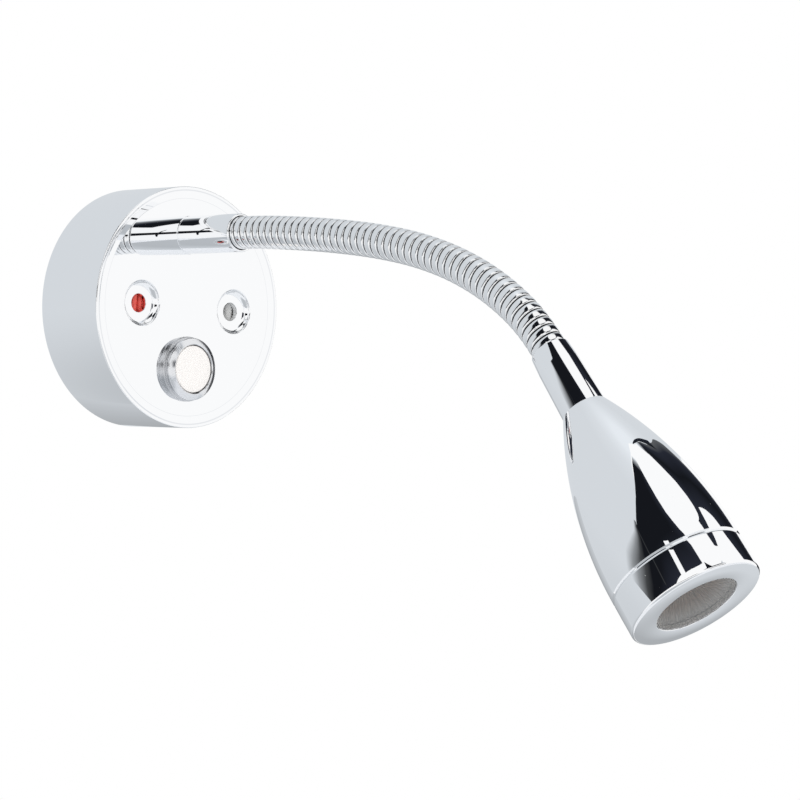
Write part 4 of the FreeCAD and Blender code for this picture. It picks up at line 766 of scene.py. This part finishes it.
# ---------------------------------------------------------------------------
# Gooseneck
# A steel strip formed to a rounded rib and wound on itself, then chromed: 48 turns
# in view, each overlapping the last, so that it stays where it is bent.
# ---------------------------------------------------------------------------
SPAN, RIBS = 17.8, 6
TURNS = (3.0, 1.7, 2.0, 3.6, 6.6, 8.7, 10.4, 15.0)
STRETCHES = len(TURNS)
CREST, NECK_BORE, ENTRY = 5.4, 3.5, 11.0
RIB_SHARE, RIB_SAG, GROOVE, GROOVE_SHADE_GAIN = 0.83, 0.2, 0.62, 4
PITCH = SPAN / RIBS
STEPS_PER_RIB, NECK_SIDES, CABLE_SIDES, PLAIN_RINGS = 28, 72, 20, 13
NECK_CREASE, NECK_SEAM = 50.0, 1e-9


def centre_line(length):
    """Points and headings on the arm's middle, for lengths from the sleeve's mouth.
    A stretch of length L that turns by a is an arc: the chord to a point s along it
    is s sin(h) / h long and leans by h = a s / 2L more than the stretch's start."""
    at = np.zeros((len(length), 2))
    lean = np.zeros(len(length))
    place, angle = np.array((-SLEEVE_END, ARM_HEIGHT)), 0.0
    for k, turn in enumerate(TURNS):
        turn = math.radians(turn)
        begin = -math.inf if k == 0 else k * SPAN
        final = math.inf if k == STRETCHES - 1 else (k + 1) * SPAN
        here = (length >= begin) & (length <= final)
        inside = np.clip(length[here] - k * SPAN, 0, SPAN)
        over = length[here] - k * SPAN - inside
        h = turn * inside / SPAN / 2
        chord = inside * np.sinc(h / math.pi)
        at[here, 0] = place[0] - chord * np.cos(angle + h) - over * np.cos(angle + 2 * h)
        at[here, 1] = place[1] - chord * np.sin(angle + h) - over * np.sin(angle + 2 * h)
        lean[here] = angle + 2 * h
        reach = SPAN * np.sinc(turn / 2 / math.pi)
        place = place - reach * np.array((math.cos(angle + turn / 2),
                                          math.sin(angle + turn / 2)))
        angle += turn
    return at, lean


def groove_share(length, turn):
    """How far a point is down the groove, 0 on a rib and 1 at the bottom. The winding
    moves each rib on by one pitch per turn."""
    phase = (length / PITCH - turn / (2 * math.pi)) % 1.0
    off = np.abs(2 * phase - 1) / RIB_SHARE
    return off, np.clip((off - 1) / (1 / RIB_SHARE - 1), 0, 1)


def rib_radius(length, turn):
    """Radius of the wound strip. A rib is flat in the middle and falls by the sag as the
    fourth power of the distance from it, and between ribs the skin drops into a V."""
    off, drop = groove_share(length, turn)
    return CREST - RIB_SAG * np.minimum(off, 1) ** 4 - GROOVE * drop


def cable_radius(length, turn):
    """Radius of the cable: the same at every length and turn."""
    return np.full_like(length, CABLE_RADIUS)


def hose_skin(length, radius_at, bore, sides):
    """A hose along the arm: the point at length s, radius r and turn t stands off the
    middle by r cos t along X and r sin t square to the heading. A bore gives it an
    inner skin; without one, its ends are closed discs."""
    turn = np.arange(sides) * 2 * math.pi / sides
    at, lean = centre_line(length)

    def loops(radius):
        out = radius * np.sin(turn)
        return np.stack((radius * np.cos(turn), at[:, :1] - out * np.sin(lean)[:, None],
                         at[:, 1:] + out * np.cos(lean)[:, None]), -1)

    rings = [loops(radius_at(length[:, None], turn[None, :]))]
    if bore:
        kept = np.linspace(len(length) - 1, 0, PLAIN_RINGS).round().astype(int)
        rings.append(loops(np.full((len(length), sides), bore))[kept])
    skin = np.concatenate(rings)
    rows = len(skin) if bore else len(skin) - 1
    i, j = np.meshgrid(np.arange(rows), np.arange(sides), indexing="ij")
    k, m = (i + 1) % len(skin), (j + 1) % sides
    quads = np.stack((i * sides + j, i * sides + m, k * sides + m, k * sides + j),
                     -1).reshape(-1, 4).tolist()
    if not bore:
        quads += [list(range(sides)), list(range(rows * sides, (rows + 1) * sides))]
    return skin.reshape(-1, 3) * MM, quads


def painted_shade_by(material, attribute, colour):
    """Turn the material towards a second, darker colour by the mesh attribute's share:
    painted shade.
    """
    tree = material.node_tree
    base = tree.nodes["Principled BSDF"].inputs["Base Color"]
    share = tree.nodes.new("ShaderNodeAttribute")
    share.attribute_name = attribute
    feed(tree, base, mingled(tree, share.outputs["Fac"], base.links[0].from_socket,
                             (*colour, 1.0)))


neck_chrome = bare_metal("gooseneck chrome", (0.92, 0.927, 0.935), 0.02, 0.05, 1500.0, 0.0,
                         6e-7)
# the grooves between the ribs are painted near black: painted shade in them
painted_shade_by(neck_chrome, "groove", (0.03, 0.03, 0.033))
joins, leans = centre_line(np.arange(STRETCHES + 1) * SPAN)
joins = [(0.0, y * MM, z * MM) for y, z in joins]
turn = np.arange(NECK_SIDES) * 2 * math.pi / NECK_SIDES
for k in range(STRETCHES):
    low = -ENTRY if k == 0 else k * SPAN
    high = STRETCHES * SPAN + ENTRY if k == STRETCHES - 1 else (k + 1) * SPAN
    ribbed = np.linspace(low, high, round((high - low) / PITCH * STEPS_PER_RIB) + 1)
    hose = welded(f"gooseneck_stretch_{k + 1}",
                  [hose_skin(ribbed, rib_radius, NECK_BORE, NECK_SIDES)],
                  NECK_CREASE, NECK_SEAM)
    hose.data.materials.append(neck_chrome)
    drop = groove_share(ribbed[:, None], turn[None, :])[1].ravel()
    bore = np.zeros(len(hose.data.vertices) - len(drop))
    hose.data.attributes.new("groove", "FLOAT", "POINT").data.foreach_set(
        "value", np.concatenate((np.clip(drop * GROOVE_SHADE_GAIN, 0, 1), bore)))
    plain = np.linspace(k * SPAN, (k + 1) * SPAN, PLAIN_RINGS)
    cable = welded(f"arm_cable_stretch_{k + 1}",
                   [hose_skin(plain, cable_radius, 0, CABLE_SIDES)], NECK_CREASE, NECK_SEAM)
    cable.data.materials.append(sheath)
    for piece, node, slot in ((hose, "gooseneck", "neck_chrome"),
                              (cable, "arm_cable", "cable_sheath")):
        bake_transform(piece)
        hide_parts(f"{node}_{k + 1}")

# ---------------------------------------------------------------------------
# Head: collar and bell
# Both are turned from brass bar and chromed. The collar grips the gooseneck and
# screws into the bell, whose side is one long arc that ends square at the seam.
# ---------------------------------------------------------------------------
HEAD_PLACE = np.array(joins[-1])
HEAD_TURN = np.array(Matrix.Rotation(math.radians(90) + float(leans[-1]), 3, "X"))
COLLAR_START, COLLAR_MOUTH, COLLAR_FOOT, COLLAR_LENGTH = 0.7, 5.95, 6.8, 22.8
COLLAR_WAIST, WAIST_RADIUS, HOSE_STOP = 6.35, 6.5, 11.2
SPIGOT_RADIUS, SPIGOT_END, HEAD_BORE = 4.6, 31.0, 2.5
SPIGOT_HOLE, SPIGOT_REST = 4.65, 31.4
HEAD_RADIUS, SEAM, SEAM_BEVEL, POCKET, SEAT = 20.0, 79.0, 0.35, 17.6, 62.0
HEAD_SIDES, COLLAR_SIDES, HEAD_STEPS = 192, 128, 8


def aimed(spots):
    """A head piece's own X, Y and height, turned onto the head's axis, in metres."""
    return np.asarray(spots) @ HEAD_TURN.T * MM + HEAD_PLACE


def head_piece(name, line, around, node):
    """A turned and chromed piece on the head's axis."""
    skin, faces = turned(line, around, closed=True)
    piece = welded(name, [(aimed(skin), faces)])
    piece.data.materials.append(head_chrome)
    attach(piece, "head")
    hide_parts(node)


head_chrome = bare_metal("head chrome", CHROME, 0.0, 0.02, 900.0, 1.0, 2e-7)
head_piece("collar", eased([
    (HOSE_BORE, COLLAR_START, 0), (COLLAR_MOUTH, COLLAR_START, 0.3),
    (COLLAR_WAIST, WAIST_RADIUS, 12.0), (COLLAR_FOOT, COLLAR_LENGTH, 0.08),
    (SPIGOT_RADIUS, COLLAR_LENGTH, 0), (SPIGOT_RADIUS, SPIGOT_END, 0),
    (HEAD_BORE, SPIGOT_END, 0), (HEAD_BORE, HOSE_STOP, 0), (HOSE_BORE, HOSE_STOP, 0)],
    HEAD_STEPS), COLLAR_SIDES, "head_collar")
bell_side = bowed((COLLAR_FOOT + 0.1, COLLAR_LENGTH), (HEAD_RADIUS, SEAM - SEAM_BEVEL),
                  SEAM - SEAM_BEVEL, 64)
head_piece("bell", np.vstack((
    [(SPIGOT_HOLE, COLLAR_LENGTH)], bell_side,
    [(HEAD_RADIUS - SEAM_BEVEL, SEAM), (POCKET, SEAM), (POCKET, SEAT), (HEAD_BORE, SEAT),
     (HEAD_BORE, SPIGOT_REST), (SPIGOT_HOLE, SPIGOT_REST)])), HEAD_SIDES, "head_bell")

# ---------------------------------------------------------------------------
# Front ring
# The ring screws into the bell and shows only a fine bevelled seam. Its flat front
# has a rounded outer edge and a small bevel round the lens opening.
# ---------------------------------------------------------------------------
RING_FRONT, RING_STEP, APERTURE, RING_BORE = 90.6, 86.4, 12.4, 15.0
THREAD_END, THREAD_RADIUS = 72.0, 17.55
head_piece("ring", eased([
    (RING_BORE, THREAD_END, 0), (THREAD_RADIUS, THREAD_END, 0.3), (THREAD_RADIUS, SEAM, 0),
    (HEAD_RADIUS - 0.45, SEAM, 0), (HEAD_RADIUS, SEAM + 0.9, 0.5),
    (HEAD_RADIUS, RING_FRONT, 0.9), (APERTURE, RING_FRONT, 0.2), (APERTURE, RING_STEP, 0),
    (RING_BORE, RING_STEP, 0)], HEAD_STEPS), HEAD_SIDES, "front_ring")

# ---------------------------------------------------------------------------
# Lens, holder and seal
# The lens is moulded in clear plastic: a flat front, a flange, and a cone fluted
# lengthwise that throws the diode's light forward. A holder and a seal keep it in
# the ring. Its back is painted pale, as if it held that light.
# ---------------------------------------------------------------------------
LENS_FRONT, FLANGE_TOP, FLANGE_LOW, LENS_TAIL = 90.3, 86.0, 84.6, 65.2
LENS_FACE, LENS_FLANGE, LENS_BODY, TAIL_RADIUS = 12.3, 14.4, 12.5, 4.7
FACE_BEVEL, WELL_RADIUS, WELL_DEPTH, WELL_TIP = 0.12, 2.8, 5.0, 1.0
FLUTES, FLUTE_DEPTH, FLUTE_FADE = 48, 0.5, 4
CONE_STEPS, CONE_LEVEL, RIM_RINGS = 24, 9.0, 5
LENS_SIDES, LENS_CREASE = 384, 25.0
BACK_TOP, BACK_BORE, FACE_MARGIN = 90.0, 2.9, 0.2
SHADE_START, SHADE_REACH = 81.6, 8.0


def lens_skin():
    """The lens as a turned skin whose cone and rim are cut in round the axis by
    depth x |cos(flutes x turn / 2)|, fading to nothing at the cone's tail."""
    cone = bowed((TAIL_RADIUS, LENS_TAIL), (LENS_BODY, FLANGE_LOW), FLANGE_LOW + CONE_LEVEL,
                 CONE_STEPS)
    rim = np.column_stack((np.full(RIM_RINGS, LENS_FACE),
                           np.linspace(FLANGE_TOP, LENS_FRONT - FACE_BEVEL, RIM_RINGS)))
    line = np.vstack((
        [(WELL_RADIUS, LENS_TAIL)], cone,
        [(LENS_FLANGE, FLANGE_LOW), (LENS_FLANGE, FLANGE_TOP)], rim,
        [(LENS_FACE - FACE_BEVEL, LENS_FRONT), (LENS_FACE - 0.6, LENS_FRONT),
         (0, LENS_FRONT), (0, LENS_TAIL + WELL_DEPTH),
         (WELL_RADIUS, LENS_TAIL + WELL_DEPTH - WELL_TIP)]))
    fade = np.concatenate((
        [0], np.minimum(np.linspace(0, 1, CONE_STEPS + 1) * FLUTE_FADE, 1), [0, 0],
        np.ones(RIM_RINGS + 1), np.zeros(4)))
    skin, faces = turned(line, LENS_SIDES, closed=True)
    skin = skin.reshape(len(line), LENS_SIDES, 3)
    turn = np.arange(LENS_SIDES) * 2 * math.pi / LENS_SIDES
    cut = FLUTE_DEPTH * fade[:, None] * np.abs(np.cos(FLUTES * turn / 2))[None, :]
    skin[:, :, :2] *= (1 - cut / np.maximum(line[:, :1], 1))[:, :, None]
    return skin.reshape(-1, 3), faces


def on_axis(spots):
    """Places in the room as the head's own X, Y and height."""
    return (spots - HEAD_PLACE) @ HEAD_TURN / MM


skin, faces = lens_skin()
lens = welded("lens_moulding", [(aimed(skin), faces)], LENS_CREASE)
lens_clear = bpy.data.materials.new("clear moulding")
lens_clear.use_nodes = True
tree = lens_clear.node_tree
shader = tree.nodes["Principled BSDF"]
shader.inputs["Transmission Weight"].default_value = 1.0
shader.inputs["IOR"].default_value = 1.49
shader.inputs["Base Color"].default_value = (0.975, 0.96, 0.94, 1.0)
ripple = noise(tree, tree.nodes.new("ShaderNodeTexCoord").outputs["Object"], 700.0)
feed(tree, shader.inputs["Normal"], relief(tree, ripple, 0.4, 1e-5))
feed(tree, shader.inputs["Roughness"], reckoned(tree, "MULTIPLY_ADD", ripple, 0.05, 0.01))
lens.data.materials.append(lens_clear)

# the painted back is browner towards the cone's tail: painted shade deep in the lens
lens_back = grained("lens back", (0.99, 0.985, 0.97), (0.96, 0.95, 0.93), 0.0, 0.3, 0.1, 300.0)
painted_shade_by(lens_back, "deep", (0.7, 0.6, 0.53))
spots = np.empty(3 * len(lens.data.vertices))
lens.data.vertices.foreach_get("co", spots)
height = on_axis(spots.reshape(-1, 3))[:, 2]
lens.data.attributes.new("deep", "FLOAT", "POINT").data.foreach_set(
    "value", np.clip((SHADE_START - height) / SHADE_REACH, 0, 1))
x, y, height = on_axis(face_middles(lens)).T
reach = np.hypot(x, y)
coat(lens, lens_back,
     (height < BACK_TOP) & (reach > LENS_FACE - FLUTE_DEPTH - FACE_MARGIN)
     | (height < FLANGE_LOW) & (reach > BACK_BORE))
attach(lens, "head")
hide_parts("lens")

dress(grained("white holder", (0.82, 0.81, 0.78), (0.76, 0.75, 0.72), 0.0, 0.45),
      "lens_holder")
dress(grained("black rubber", (0.025, 0.025, 0.026), (0.04, 0.04, 0.04), 0.0, 0.6),
      "lens_seal")

# ---------------------------------------------------------------------------
# Light source
# A star-shaped board carries one diode, screwed down on a thermal pad. Its two cores
# come up through a slot in the bell from the cable's cut end.
# ---------------------------------------------------------------------------
dress(grained("grey pad", (0.3, 0.31, 0.32), (0.26, 0.27, 0.28), 0.0, 0.7), "thermal_pad")
dress(grained("white board", (0.8, 0.8, 0.78), (0.72, 0.72, 0.7), 0.0, 0.35), "light_board")
dress(grained("diode", (0.85, 0.62, 0.12), (0.8, 0.52, 0.08), 0.0, 0.2), "light_emitter")
dress(zinc, "star_screws")
dress(grained("black insulation", (0.02, 0.02, 0.02), (0.035, 0.035, 0.035), 0.0, 0.35),
      "core_black")
dress(red, "core_red")
dress(sheath, "head_cable")

bpy.context.view_layer.update()
